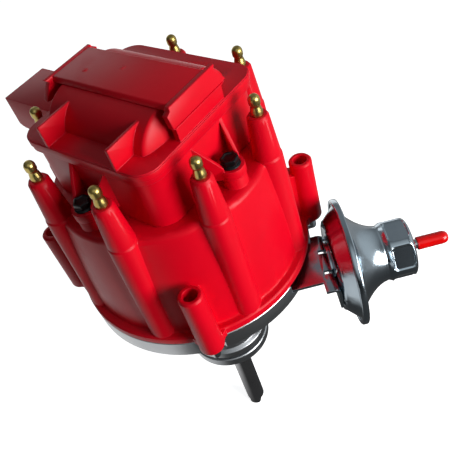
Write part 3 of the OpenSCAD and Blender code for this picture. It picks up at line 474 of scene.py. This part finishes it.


# Each finish's edge colour is partly wear and partly a painted highlight along edges; on the red moulding it is a pink
# painted highlight
FINISHES = {
    "red_moulding": dict(colour=rgb(214, 0, 28), dark=rgb(200, 0, 24), edge=rgb(240, 62, 88), rough=(0.36, 0.5),
                         grain=0.6, bump=0.2, soft=0.4, wear_and_highlight=0.3, specular=0.2),
    "red_vinyl": dict(colour=rgb(222, 4, 4), dark=rgb(206, 2, 2), edge=rgb(236, 40, 40), rough=(0.16, 0.26),
                      grain=0.3, bump=0.08, soft=0.3, wear_and_highlight=0.1, coat=0.3, specular=0.3),
    "cast_aluminium": dict(colour=rgb(186, 188, 190), dark=rgb(160, 163, 166), edge=rgb(226, 227, 228), metallic=1.0,
                           rough=(0.24, 0.42), grain=0.5, bump=0.3, soft=0.4, wear_and_highlight=0.5, rings=2.0),
    "zinc_plate": dict(colour=rgb(176, 188, 196), dark=rgb(150, 163, 172), edge=rgb(220, 226, 230), metallic=1.0,
                       rough=(0.15, 0.28), grain=0.4, bump=0.12, soft=0.3, wear_and_highlight=0.4),
    "brass": dict(colour=rgb(192, 172, 104), dark=rgb(166, 144, 80), edge=rgb(226, 214, 160), metallic=1.0,
                  rough=(0.28, 0.4), grain=0.8, bump=0.08, soft=0.2, wear_and_highlight=0.3),
    "black_oxide": dict(colour=rgb(24, 24, 27), dark=rgb(15, 15, 17), edge=rgb(70, 70, 74), rough=(0.28, 0.42),
                        metallic=0.6, grain=1.0, bump=0.1, soft=0.25, wear_and_highlight=0.5),
    "polished_steel": dict(colour=rgb(186, 186, 188), dark=rgb(160, 160, 163), edge=rgb(226, 226, 228), metallic=1.0,
                           rough=(0.14, 0.26), grain=0.5, bump=0.08, soft=0.3, wear_and_highlight=0.3, rings=0.5),
    "plain_steel": dict(colour=rgb(160, 161, 164), dark=rgb(138, 139, 142), edge=rgb(206, 206, 208), metallic=1.0,
                        rough=(0.26, 0.42), grain=0.7, bump=0.15, soft=0.3, wear_and_highlight=0.3),
    "spring_steel": dict(colour=rgb(140, 141, 146), dark=rgb(112, 113, 118), edge=rgb(190, 190, 194), metallic=1.0,
                         rough=(0.2, 0.34), grain=1.0, bump=0.08, soft=0.1, wear_and_highlight=0.1),
    "bronze": dict(colour=rgb(178, 130, 80), dark=rgb(152, 108, 62), edge=rgb(214, 174, 124), metallic=1.0,
                   rough=(0.34, 0.52), grain=1.2, bump=0.3, soft=0.2, wear_and_highlight=0.3),
    "black_rubber": dict(colour=rgb(24, 24, 24), dark=rgb(16, 16, 16), edge=rgb(48, 48, 48), rough=(0.5, 0.7),
                         grain=1.0, bump=0.3, soft=0.3, wear_and_highlight=0.2),
    "black_plastic": dict(colour=rgb(28, 28, 31), dark=rgb(20, 20, 22), edge=rgb(64, 64, 68), rough=(0.4, 0.56),
                          grain=0.8, bump=0.25, soft=0.4, wear_and_highlight=0.3),
    "carbon": dict(colour=rgb(38, 38, 38), dark=rgb(26, 26, 26), edge=rgb(70, 70, 70), rough=(0.5, 0.66),
                   grain=1.4, bump=0.3, soft=0.2, wear_and_highlight=0.3),
    "ferrite": dict(colour=rgb(52, 52, 55), dark=rgb(40, 40, 43), edge=rgb(86, 86, 90), rough=(0.5, 0.66),
                    grain=1.2, bump=0.4, soft=0.3, wear_and_highlight=0.3),
    "laminated_iron": dict(colour=rgb(92, 92, 96), dark=rgb(70, 70, 74), edge=rgb(140, 140, 144), metallic=0.9,
                           rough=(0.4, 0.56), grain=0.8, bump=0.3, soft=0.2, wear_and_highlight=0.3),
    "copper_winding": dict(colour=rgb(178, 92, 48), dark=rgb(146, 68, 34), edge=rgb(216, 138, 92), metallic=0.8,
                           rough=(0.26, 0.4), grain=1.0, bump=0.2, soft=0.3, wear_and_highlight=0.2),
}
MATERIALS = {}


def material_for(slot):
    if slot not in MATERIALS:
        MATERIALS[slot] = finish(slot, **FINISHES[slot])
    return MATERIALS[slot]


def dress(piece, slot):
    piece.data.materials.clear()
    piece.data.materials.append(material_for(slot))


def place(piece, body, slot, *nodes):
    """Gives a piece its finish and its body, and hides the CAD nodes that it stands for."""
    dress(piece, slot)
    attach(piece, body)
    if nodes:
        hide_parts(*nodes)


# Settings

class DistributorSizes(bpy.types.PropertyGroup):
    moulding_edge: bpy.props.FloatProperty(
        name="Moulding edge", description="Radius of the cap's moulded edges",
        default=0.0005, subtype="DISTANCE", unit="LENGTH")
    ball_radius: bpy.props.FloatProperty(
        name="Terminal ball", description="Radius of a plug terminal's ball",
        default=0.0027, subtype="DISTANCE", unit="LENGTH")
    screw_flats: bpy.props.FloatProperty(
        name="Screw flats", description="Size of a cover screw's head across flats",
        default=0.0074, subtype="DISTANCE", unit="LENGTH")
    vinyl_length: bpy.props.FloatProperty(
        name="Vinyl cap length", description="Length of the cap on the nipple",
        default=0.01695, subtype="DISTANCE", unit="LENGTH")
    moulding_colour: bpy.props.FloatVectorProperty(
        name="Moulding", description="Colour of the cap and the coil cover",
        default=FINISHES["red_moulding"]["colour"], subtype="COLOR", size=4)
    vinyl_colour: bpy.props.FloatVectorProperty(
        name="Vinyl", description="Colour of the cap on the nipple",
        default=FINISHES["red_vinyl"]["colour"], subtype="COLOR", size=4)


class DistributorStudio(bpy.types.PropertyGroup):
    key_power: bpy.props.FloatProperty(
        name="Key light", description="Power of the key light",
        default=11.0, subtype="POWER", unit="POWER")
    fill_power: bpy.props.FloatProperty(
        name="Fill light", description="Power of the fill light",
        default=0.25, subtype="POWER", unit="POWER")
    rim_power: bpy.props.FloatProperty(
        name="Rim light", description="Power of the light behind",
        default=0.7, subtype="POWER", unit="POWER")
    sky_strength: bpy.props.FloatProperty(
        name="Sky", description="Strength of the room's light", default=0.4)
    floor_bright: bpy.props.FloatProperty(
        name="Bright floor", description="Glow of the floor's bright side in reflections", default=0.9)
    floor_dark: bpy.props.FloatProperty(
        name="Dark floor", description="Glow of the floor's dark side in reflections", default=0.03)
    floor_colour: bpy.props.FloatVectorProperty(
        name="Floor", description="Colour of the studio floor",
        default=(0.9, 0.9, 0.9), subtype="COLOR", size=3)


# One operator for each piece or group of like pieces

class BuildNodes(bpy.types.Operator):
    """Gives every CAD node its procedural finish"""
    bl_idname = "distributor.nodes"
    bl_label = "Finish the nodes"

    def execute(self, context):
        sizes = context.scene.distributor_sizes
        FINISHES["red_moulding"]["colour"] = tuple(sizes.moulding_colour)
        FINISHES["red_vinyl"]["colour"] = tuple(sizes.vinyl_colour)
        for entry in frame["record"]["subparts"]:
            node = frame["nodes"][entry["node"]]
            dress(node, entry["material_slot"])
            smooth(node, 30)
        return {"FINISHED"}


class BuildTerminals(bpy.types.Operator):
    """Turns one brass plug terminal and stands a copy in each tower"""
    bl_idname = "distributor.terminals"
    bl_label = "Plug terminals"

    def execute(self, context):
        r = context.scene.distributor_sizes.ball_radius / MM
        ball_z = 7.8
        barrel = [(0, -2.0), (2.4, -2.0), (2.4, 0.02), (r, 0.02), (r + 0.1, 0.12), (r + 0.1, 1.9), (r + 0.04, 2.2)]
        waist = [(r - 0.1, 2.9), (r - 0.3, 3.7), (r - 0.45, 4.3), (r - 0.5, 4.75), (r - 0.43, 5.15), (r - 0.2, 5.5),
                 (r - 0.05, 5.85), (r, 6.2), (r, 7.4)]
        dome = list(reversed(arc((0, ball_z), r, 9, 90, 9)))
        stud = turned("terminal_stud", barrel + waist + dome + [(0, ball_z + r)], 40)
        smooth(stud, 24)
        deselect_all()
        bpy.ops.mesh.primitive_cube_add(size=1, location=(-0.0026, 0, -0.0625))
        foot = context.object
        foot.scale = (0.0056, 0.006, 0.009)
        settle(foot)
        edit(foot)
        bpy.ops.mesh.select_all(action="SELECT")
        bpy.ops.mesh.bevel(offset=0.0005, segments=2)
        leave_edit()
        stem = turned("terminal_stem", [(0, -62), (2.4, -62), (2.4, -2.0), (0, -2.0)], 24)
        whole = join([stud, foot, stem], "terminal")
        for i, angle in enumerate(TOWER_ANGLES, 1):
            piece = copy_of(whole, "plug_terminal_%d" % i, turn_z(angle, TOWER_R, TOWER_TOP))
            place(piece, "body_and_cap", "brass", "terminal_%d" % i)
        bpy.data.objects.remove(whole)
        return {"FINISHED"}


class BuildCoverScrews(bpy.types.Operator):
    """Makes the three black flanged hex screws that hold the coil cover"""
    bl_idname = "distributor.cover_screws"
    bl_label = "Cover screws"

    def execute(self, context):
        flats = context.scene.distributor_sizes.screw_flats / MM
        flange = turned("flange", [(0, -9.9), (1.5, -9.9), (2.05, -9.2), (2.05, 0), (4.55, 0), (4.7, 0.15),
                                   (4.7, 0.45), (4.4, 0.85), (3.6, 1.2), (0, 1.2)], 36)
        deselect_all()
        bpy.ops.mesh.primitive_cylinder_add(vertices=6, radius=flats / math.sqrt(3) * MM, depth=2.8 * MM,
                                            location=(0, 0, 2.5 * MM))
        head = context.object
        settle(head)
        edit(head)
        bpy.ops.mesh.select_mode(type="FACE")
        bpy.ops.mesh.select_all(action="DESELECT")
        mesh = bmesh.from_edit_mesh(head.data)
        for face in mesh.faces:
            face.select = face.normal.z > 0.9
        bmesh.update_edit_mesh(head.data)
        bpy.ops.mesh.inset(thickness=0.55 * MM, depth=0)
        bpy.ops.transform.translate(value=(0, 0, 0.1 * MM))
        bpy.ops.mesh.inset(thickness=0.35 * MM, depth=0)
        bpy.ops.mesh.inset(thickness=0.3 * MM, depth=-0.55 * MM)
        leave_edit()
        round_edges(head, 0.14, degrees=30)
        smooth(flange, 30)
        smooth(head, 30)
        screw = join([flange, head], "cover_screw")
        tightened = Matrix.Rotation(0.19, 4, "Z")
        made = [copy_of(screw, "cover_screw_%d" % i, turn_z(angle, LUG_REACH, LUG_TOP) @ tightened)
                for i, angle in enumerate(LUG_ANGLES, 1)]
        bpy.data.objects.remove(screw)
        place(join(made, "cover_screw_set"), "body_and_cap", "black_oxide", "cover_screws")
        return {"FINISHED"}


class BuildVinylCap(bpy.types.Operator):
    """Turns the soft vinyl cap on the vacuum nipple, with its dimpled tip"""
    bl_idname = "distributor.vinyl_cap"
    bl_label = "Vinyl cap"

    def execute(self, context):
        a = VINYL_START
        tip = a + context.scene.distributor_sizes.vinyl_length / MM
        profile = [(2.65, a + 6), (2.65, a), (3.15, a), (3.5, a + 0.25), (3.6, a + 0.6), (3.58, a + 4),
                   (3.5, tip - 5), (3.55, tip - 3.6), (3.42, tip - 2.4), (3.0, tip - 1.2), (2.3, tip - 0.4),
                   (1.5, tip - 0.05), (0.9, tip - 0.1), (0.5, tip - 0.35), (0, tip - 0.45)]
        piece = turned("vinyl_cap", profile, 44)
        close_holes(piece)
        piece.matrix_world = canister_matrix()
        settle(piece)
        smooth(piece, 40)
        place(piece, "body_and_cap", "red_vinyl", "nipple_cap")
        return {"FINISHED"}


class BuildSprings(bpy.types.Operator):
    """Winds the springs of the latches, the carbon button, the diaphragm and the advance weights"""
    bl_idname = "distributor.springs"
    bl_label = "Springs"

    def execute(self, context):
        coil = wire_coil("latch_spring", 3.0, 0.4, 5, 11.2)
        made = [copy_of(coil, "latch_spring_%d" % i, turn_z(angle, POST_R, LATCH_SPRING_Z))
                for i, angle in enumerate(POST_ANGLES, 1)]
        bpy.data.objects.remove(coil)
        latches = join(made, "latch_spring_set")

        button = wire_coil("carbon_spring", 2.6, 0.4, 7, BUTTON_SPRING_LENGTH)
        button.location = (0, 0, BUTTON_SPRING_Z * MM)
        settle(button)
        vacuum = wire_coil("canister_spring", 9.5, 0.8, 5, VAC_SPRING_LENGTH, 28)
        vacuum.matrix_world = canister_matrix() @ Matrix.Translation((0, 0, VAC_SPRING_START * MM))
        settle(vacuum)

        start, end = (Vector((r * math.cos(math.radians(a)), r * math.sin(math.radians(a)), 0))
                      for r, a in WEIGHT_SPRING_ENDS)
        heading = math.atan2(end.y - start.y, end.x - start.x)
        hook = 1.9
        weight = wire_coil("weight_spring", 1.4, 0.4, 6, (end - start).length - 2 * hook)
        lying = (Matrix.Translation((start.x * MM, start.y * MM, WEIGHT_SPRING_Z * MM))
                 @ Matrix.Rotation(heading, 4, "Z") @ Matrix.Translation((hook * MM, 0, -0.5 * MM))
                 @ Matrix.Rotation(math.pi / 2, 4, "Y"))
        pair = [copy_of(weight, "weight_spring_copy", Matrix.Rotation(half, 4, "Z") @ lying) for half in (0, math.pi)]
        bpy.data.objects.remove(weight)
        weights = join(pair, "weight_spring_pair")

        for piece, body, node in ((latches, "body_and_cap", "latch_springs"),
                                  (button, "body_and_cap", "button_spring"),
                                  (vacuum, "body_and_cap", "diaphragm_spring"),
                                  (weights, "advance", "advance_springs")):
            smooth(piece, 50)
            place(piece, body, "spring_steel", node)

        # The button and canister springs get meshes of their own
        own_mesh(button)
        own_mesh(vacuum)
        return {"FINISHED"}


class BuildMouldings(bpy.types.Operator):
    """Rounds the edges of the cap, the housing, the bracket and the canister's back"""
    bl_idname = "distributor.mouldings"
    bl_label = "Moulded and cast shells"

    def execute(self, context):
        width = context.scene.distributor_sizes.moulding_edge / MM
        for node, name, slot, edge in (("distributor_cap", "cap_moulding", "red_moulding", width),
                                       ("housing", "housing_casting", "cast_aluminium", 0.3),
                                       ("vacuum_bracket", "bracket_pressing", "zinc_plate", 0.25),
                                       ("canister_cup", "canister_back", "zinc_plate", 0.2)):
            piece = merged_copy(node, name)
            round_edges(piece, edge)
            smooth(piece, 30)
            place(piece, "body_and_cap", slot, node)
        return {"FINISHED"}


class BuildCoilCover(bpy.types.Operator):
    """Models the coil cover's top: the domed coil housing, the roof, two grooved end plates and two fins"""
    bl_idname = "distributor.coil_cover"
    bl_label = "Coil cover"

    # Half sizes of the dome's flat top, how far its ends and sides lie beyond it, its foot, rise and wall
    flat_x, flat_y, end, side, foot, rise, wall = 28.9, 10.0, 4.4, 19.4, 186.0, 17.0, 2.4
    quarter_points = 17
    inside_z = 189.6

    @staticmethod
    def skirt(width):
        """The CAD's skirt and deck, cut off just under the deck's surface."""
        skirt = merged_copy("coil_cover", "cover_skirt")
        above = Matrix.Translation((0, 0, (DECK_Z - 0.02) * MM))
        combine(skirt, prism("cut", [(-60, -60), (60, -60), (60, 60), (-60, 60)], 30, above), "DIFFERENCE")
        round_edges(skirt, width)
        smooth(skirt, 30)
        return skirt

    def ring(self, height, inset):
        """The dome's outline at a height: a flat rectangle with a quarter ellipsoid swept round it."""
        share = math.cos(math.asin(min(1, (height - self.foot) / (self.rise - inset))))
        points = []
        for quarter, (sx, sy) in enumerate(((1, 1), (-1, 1), (-1, -1), (1, -1))):
            for i in range(self.quarter_points):
                a = math.radians(90 * i / (self.quarter_points - 1))
                a = a if quarter % 2 == 0 else math.pi / 2 - a
                points.append((sx * (self.flat_x + (self.end - inset) * share * math.cos(a)) * MM,
                               sy * (self.flat_y + (self.side - inset) * share * math.sin(a)) * MM, height * MM))
        return points

    def dome(self):
        """Extrudes a ring up the outside and down the inside, then closes both tops and the foot."""
        count = 4 * self.quarter_points
        outer = ([self.inside_z, 190.2] + [self.foot + self.rise * math.sin(math.radians(a)) for a in range(17, 91, 4)]
                 + [self.foot + self.rise])
        low = self.rise - self.wall
        inner = [self.foot + low * math.sin(math.radians(a)) for a in range(87, 16, -7)] + [self.inside_z]
        rings = [self.ring(h, 0) for h in outer] + [self.ring(h, self.wall) for h in inner]
        deselect_all()
        bpy.ops.mesh.primitive_circle_add(vertices=count, radius=0.01, location=(0, 0, 0))
        dome = bpy.context.object
        dome.name = dome.data.name = "coil_dome"
        bpy.ops.object.mode_set(mode="EDIT")
        for i, points in enumerate(rings):
            if i:
                bpy.ops.mesh.extrude_region_move()
            mesh = bmesh.from_edit_mesh(dome.data)
            mesh.verts.ensure_lookup_table()
            for vert, point in zip([v for v in mesh.verts if v.select], points):
                vert.co = point
            bmesh.update_edit_mesh(dome.data)
        leave_edit()
        mesh = bmesh.new()
        mesh.from_mesh(dome.data)
        mesh.verts.ensure_lookup_table()
        rows = [mesh.verts[count * i:count * (i + 1)] for i in range(len(rings))]
        tops = rows[len(outer) - 1], rows[len(outer)]
        between = [e for e in mesh.edges if all(set(e.verts) & set(top) for top in tops)]
        bmesh.ops.delete(mesh, geom=between, context="EDGES")
        for top in tops:
            mesh.faces.new(top)
        first, last = rows[0], rows[-1]
        for i in range(count):
            after = (i + 1) % count
            mesh.faces.new((first[i], first[after], last[after], last[i]))
        mesh.to_mesh(dome.data)
        mesh.free()
        clean_normals(dome, 1e-5)
        smooth(dome, 40)
        return dome

    @staticmethod
    def roof():
        half, top, length = 12.7, ROOF_Z - 0.2, 72
        outline = [(-half - 0.8, top - 2.5), (half + 0.8, top - 2.5), (half, top - 0.5), (half - 0.6, top),
                   (-half + 0.6, top), (-half, top - 0.5)]
        roof = prism("cover_roof", outline, length, Matrix.Translation((-length / 2 * MM, 0, 0)) @ ALONG_X)
        round_edges(roof, 0.25)
        return roof

    @staticmethod
    def end_plate(turn):
        """What a plate's grooved section and its front outline have in common."""
        foot, step, half, x = 189.5, ROOF_Z - 9.0, 15.5, PLATE_X
        section = [(x - 2.6, foot), (x - 0.1, foot), (x - 0.8, step - 0.7), (x - 2.1, step - 0.5),
                   (x - 2.1, step - 0.1), (x - 0.6, step + 0.2), (x - 1.9, ROOF_Z - 0.35), (x - 2.2, ROOF_Z - 0.04),
                   (x - 4.2, ROOF_Z - 0.04), (x - 4.6, ROOF_Z - 1)]
        front = [(-half, foot), (half, foot), (half + 1, step - 1.2), (half + 4.8, step - 0.4),
                 (half - 0.2, ROOF_Z - 1.8), (half + 1.4, ROOF_Z), (-half + 1.8, ROOF_Z), (-half + 1.4, ROOF_Z - 1.9),
                 (-half - 0.9, ROOF_Z - 2.8), (-half - 0.5, step - 0.4), (-half + 0.6, step - 0.8)]
        across = Matrix.Translation((0, 30 * MM, 0)) @ Matrix.Rotation(math.pi / 2, 4, "X")
        plate = prism("plate_section", section, 60, across)
        combine(plate, prism("plate_front", front, 80, ALONG_X), "INTERSECT")
        round_edges(plate, 0.12)
        plate.matrix_world = Matrix.Rotation(turn, 4, "Z")
        settle(plate)
        return plate

    @staticmethod
    def fin(x):
        sheet, top = 1.8, 200.6
        outline = [(-39.8, 189.5), (-20, 189.5), (-20, top), (-39.4, top), (-39.8, top - 0.4)]
        fin = prism("fin", outline, sheet, Matrix.Translation(((x - sheet / 2) * MM, 0, 0)) @ ALONG_X)
        round_edges(fin, 0.3)
        return fin

    def execute(self, context):
        loose = [self.roof(), self.end_plate(0), self.end_plate(math.pi)] + [self.fin(x) for x in FIN_X]
        for part in loose:
            smooth(part, 30)
        parts = [self.skirt(context.scene.distributor_sizes.moulding_edge / MM), self.dome()] + loose
        place(join(parts, "cover_moulding"), "body_and_cap", "red_moulding", "coil_cover")
        return {"FINISHED"}


class BuildCanister(bpy.types.Operator):
    """Spins the canister's drawn cover and presses six panels into its nose"""
    bl_idname = "distributor.canister"
    bl_label = "Canister cover"

    # A pressed panel's half sizes, middle, corner radius and the width of its sloping border
    half_width, half_length, middle, corner, border = 6.9, 5.9, 106.9, 2.6, 0.75

    @staticmethod
    def skin(inset):
        """The outside of the sheet, or its inside at the sheet's thickness, from the nose to the rim."""
        corner = arc((LAND_R - NOSE_BEND, NOSE_END - NOSE_BEND), NOSE_BEND - inset, 0, 90, 6)
        rows = [(LAND_R - inset, NOSE_END - 3.9 - 0.3 * i) for i in range(30)]
        cone = [(LAND_R - 0.25 - inset, 100.7), (LAND_R - 0.7 - inset, 99.9), (NOSE_R + 0.4 - inset, 98.9),
                (NOSE_R + 0.22 - inset, 98.2)]
        steps = [0.88 - 0.04 * i for i in range(22)]
        flare = [(NOSE_R + 0.2 + 11.6 * (1 - t) ** 2 - inset, 82.2 + 17.8 * t) for t in steps]
        return corner + rows + cone + flare

    def press(self, vert):
        """Moves a point of the nose in to the flat of the panel that it lies in."""
        x, y, z = (value / MM for value in vert.co)
        turn = round(math.atan2(y, x) / (math.pi / 3)) * math.pi / 3
        out = x * math.cos(turn) + y * math.sin(turn)
        side = y * math.cos(turn) - x * math.sin(turn)
        radius = math.hypot(x, y)
        inner = (radius < LAND_R - 0.5 and z < NOSE_END - 0.6
                 and math.hypot(max(0, radius - LAND_R + NOSE_BEND), max(0, z - NOSE_END + NOSE_BEND)) < 3.1)
        depth = out - (NOSE_R - 0.25 - (SHEET if inner else 0))
        if z < 99.8 or z > NOSE_END - 0.6 or depth <= 0:
            return
        du, dv = abs(side) - self.half_width + self.corner, abs(z - self.middle) - self.half_length + self.corner
        inside = self.corner - math.hypot(max(du, 0), max(dv, 0)) - min(max(du, dv), 0)
        share = min(max(inside / self.border, 0), 1)
        share = share * share * (3 - 2 * share)
        vert.co.x -= depth * share * math.cos(turn) * MM
        vert.co.y -= depth * share * math.sin(turn) * MM

    def execute(self, context):
        nipple = [(2.75, 113.3), (2.75, 116.1), (3.05, 116.4), (3.35, 116.35), (3.6, 115.9), (3.75, 115.4),
                  (6.3, 114.35), (7.4, NOSE_END)]
        bead = [(28.2, 81.9), (31.6, 82.0), (34.2, 81.75), (34.75, 81.4), (35, 80.9), (35, 78.9), (34.75, 78.35),
                (34.3, 78.1), (32.9, 78.1), (32.45, 78.35), (32.5, 78.65), (34, 78.8), (34, 80.8), (28.6, 80.8)]
        profile = nipple + self.skin(0) + bead + self.skin(SHEET)[::-1] + [(2.75, NOSE_END - SHEET), nipple[0]]
        piece = turned("canister_pressing", profile, 216)
        mesh = bmesh.new()
        mesh.from_mesh(piece.data)
        for vert in mesh.verts:
            self.press(vert)
        mesh.to_mesh(piece.data)
        mesh.free()
        piece.matrix_world = canister_matrix()
        settle(piece)
        clean_normals(piece)
        smooth(piece, 32)
        place(piece, "body_and_cap", "zinc_plate", "canister_cover")
        return {"FINISHED"}


class BuildGateMarks(bpy.types.Operator):
    """Adds the small round gate marks that the mould leaves on the cover's roof"""
    bl_idname = "distributor.gate_marks"
    bl_label = "Gate marks"

    def execute(self, context):
        mark = turned("gate_mark", [(0, -0.2), (1.5, -0.2), (1.5, 0.02), (1.35, 0.1), (1.1, 0.04), (0.6, 0.03),
                                    (0.45, 0.12), (0.15, 0.2), (0, 0.2)], 24)
        smooth(mark, 40)
        made = [copy_of(mark, "gate_mark_%d" % i, Matrix.Translation((x * MM, y * MM, (ROOF_Z - 0.2) * MM)))
                for i, (x, y) in enumerate(GATE_MARKS, 1)]
        bpy.data.objects.remove(mark)
        place(join(made, "roof_gate_marks"), "body_and_cap", "red_moulding")
        return {"FINISHED"}


class BuildStudio(bpy.types.Operator):
    """Sets the camera of the photograph, a pale floor and soft light"""
    bl_idname = "distributor.studio"
    bl_label = "Set the studio"

    @staticmethod
    def set_camera(scene):
        camera = bpy.data.objects.new("camera", bpy.data.cameras.new("camera"))
        scene.collection.objects.link(camera)
        az, el, roll = (math.radians(a) for a in (CAMERA_AZIMUTH, CAMERA_HEIGHT, CAMERA_ROLL))
        back = Vector((math.sin(az) * math.cos(el), -math.cos(az) * math.cos(el), math.sin(el)))
        right = (-back).cross(Vector((0, 0, 1))).normalized()
        up = right.cross(-back)
        across = math.cos(roll) * right + math.sin(roll) * up
        above = -math.sin(roll) * right + math.cos(roll) * up
        axes = Matrix((across, above, back)).transposed().to_4x4()
        camera.matrix_world = Matrix.Translation(CAMERA_PLACE) @ axes
        camera.data.sensor_fit = "HORIZONTAL"
        camera.data.sensor_width = 36
        camera.data.lens = CAMERA_LENS
        camera.data.clip_start = 0.01
        scene.camera = camera
        scene.view_settings.view_transform = "Standard"

    @staticmethod
    def lay_floor(settings):
        """A white floor to the camera, whose glow in reflections fades from one side to the other."""
        deselect_all()
        bpy.ops.mesh.primitive_plane_add(size=6, location=(0, 0, CAD_BOX[0][2] - 0.0005))
        floor = bpy.context.object
        floor.name = floor.data.name = "studio_floor"
        settle(floor)
        pale = bpy.data.materials.new("studio_floor")
        pale.use_nodes = True
        tree = pale.node_tree
        shader = tree.nodes["Principled BSDF"]
        shader.inputs["Roughness"].default_value = 0.9
        shader.inputs["Specular IOR Level"].default_value = 0.0
        shader.inputs["Emission Color"].default_value = (1, 1, 1, 1)
        path = add(tree, "LightPath")
        seen = path.outputs["Is Camera Ray"]
        split = add(tree, "SeparateXYZ")
        tree.links.new(add(tree, "TexCoord").outputs["Object"], split.inputs[0])
        along = math_node(tree, "ADD", math_node(tree, "MULTIPLY", split.outputs[0], -1.0),
                          math_node(tree, "MULTIPLY", split.outputs[1], -0.35))
        glow = math_node(tree, "ADD", spread(tree, along, settings.floor_dark, settings.floor_bright, 0.0, 0.06),
                         spread(tree, split.outputs[1], 0.0, 0.4, 0.15, 0.5))
        glow = math_node(tree, "MULTIPLY", glow, spread(tree, path.outputs["Is Glossy Ray"], 0.35, 1.0))
        shown = math_node(tree, "MULTIPLY", seen, 0.8)
        hidden = math_node(tree, "MULTIPLY", math_node(tree, "SUBTRACT", 1.0, seen), glow)
        tree.links.new(math_node(tree, "ADD", shown, hidden), shader.inputs["Emission Strength"])
        tone = mix_colour(tree, seen, (0.04, 0.04, 0.04, 1), tuple(settings.floor_colour) + (1.0,))
        tree.links.new(tone, shader.inputs["Base Color"])
        floor.data.materials.append(pale)

    @staticmethod
    def hang_lamp(scene, name, place, size, power):
        """A rectangular lamp that faces the middle of the cap."""
        data = bpy.data.lights.new(name, "AREA")
        data.shape = "RECTANGLE"
        data.size, data.size_y = size
        data.energy = power
        light = bpy.data.objects.new(name, data)
        scene.collection.objects.link(light)
        light.location = place
        light.rotation_euler = (Vector(place) - LAMP_AIM).to_track_quat("Z", "Y").to_euler()

    @staticmethod
    def light_sky(scene, strength):
        """A soft sky, with two bright patches that only reflections show."""
        world = bpy.data.worlds.new("studio")
        world.use_nodes = True
        tree = world.node_tree
        heading = add(tree, "TexCoord").outputs["Generated"]

        def towards(direction):
            dot = add(tree, "VectorMath", operation="DOT_PRODUCT")
            dot.inputs[1].default_value = direction
            tree.links.new(heading, dot.inputs[0])
            return dot.outputs["Value"]

        sky = add(tree, "ValToRGB")
        sky.color_ramp.elements[0].position = 0.0
        sky.color_ramp.elements[0].color = (0.04, 0.045, 0.05, 1)
        sky.color_ramp.elements[1].position = 1.0
        sky.color_ramp.elements[1].color = (0.66, 0.7, 0.74, 1)
        tree.links.new(towards(SKY_TOP), sky.inputs["Fac"])
        path = add(tree, "LightPath")
        overhead = spread(tree, towards(OVERHEAD_GLOW), 0.0, 1.0, 0.82, 0.98)
        beside = spread(tree, towards(SIDE_GLOW), 0.0, 1.0, 0.55, 0.98)
        glow = math_node(tree, "MULTIPLY", math_node(tree, "MAXIMUM", overhead, beside), path.outputs["Is Glossy Ray"])
        around = mix_colour(tree, glow, sky.outputs["Color"], (1.9, 2.0, 2.05, 1))
        whole = mix_colour(tree, path.outputs["Is Camera Ray"], around, (2.2, 2.2, 2.2, 1))
        background = tree.nodes["Background"]
        tree.links.new(whole, background.inputs["Color"])
        background.inputs["Strength"].default_value = strength
        scene.world = world

    def execute(self, context):
        settings = context.scene.distributor_studio
        self.set_camera(context.scene)
        self.lay_floor(settings)
        for name, place, size in LAMPS:
            self.hang_lamp(context.scene, name, place, size, getattr(settings, name + "_power"))
        self.light_sky(context.scene, settings.sky_strength)
        return {"FINISHED"}


class DistributorPanel(bpy.types.Panel):
    """Sizes, studio settings and the building steps"""
    bl_idname = "VIEW3D_PT_distributor"
    bl_label = "Ignition distributor"
    bl_space_type = "VIEW_3D"
    bl_region_type = "UI"
    bl_category = "Distributor"

    def draw(self, context):
        for group in (context.scene.distributor_sizes, context.scene.distributor_studio):
            for key in type(group).__annotations__:
                self.layout.prop(group, key)
        for step in STEPS:
            self.layout.operator(step.bl_idname)


STEPS = [BuildNodes, BuildMouldings, BuildCoilCover, BuildCanister, BuildGateMarks, BuildTerminals, BuildCoverScrews,
         BuildVinylCap, BuildSprings, BuildStudio]
CLASSES = [DistributorSizes, DistributorStudio] + STEPS + [DistributorPanel]


def register():
    for item in CLASSES:
        bpy.utils.register_class(item)
    bpy.types.Scene.distributor_sizes = bpy.props.PointerProperty(type=DistributorSizes)
    bpy.types.Scene.distributor_studio = bpy.props.PointerProperty(type=DistributorStudio)


def unregister():
    del bpy.types.Scene.distributor_studio
    del bpy.types.Scene.distributor_sizes
    for item in reversed(CLASSES):
        bpy.utils.unregister_class(item)


def main():
    register()
    for step in STEPS:
        family, name = step.bl_idname.split(".")
        getattr(getattr(bpy.ops, family), name)()
    deselect_all()
    bpy.context.view_layer.update()


if __name__ == "__main__":
    main()
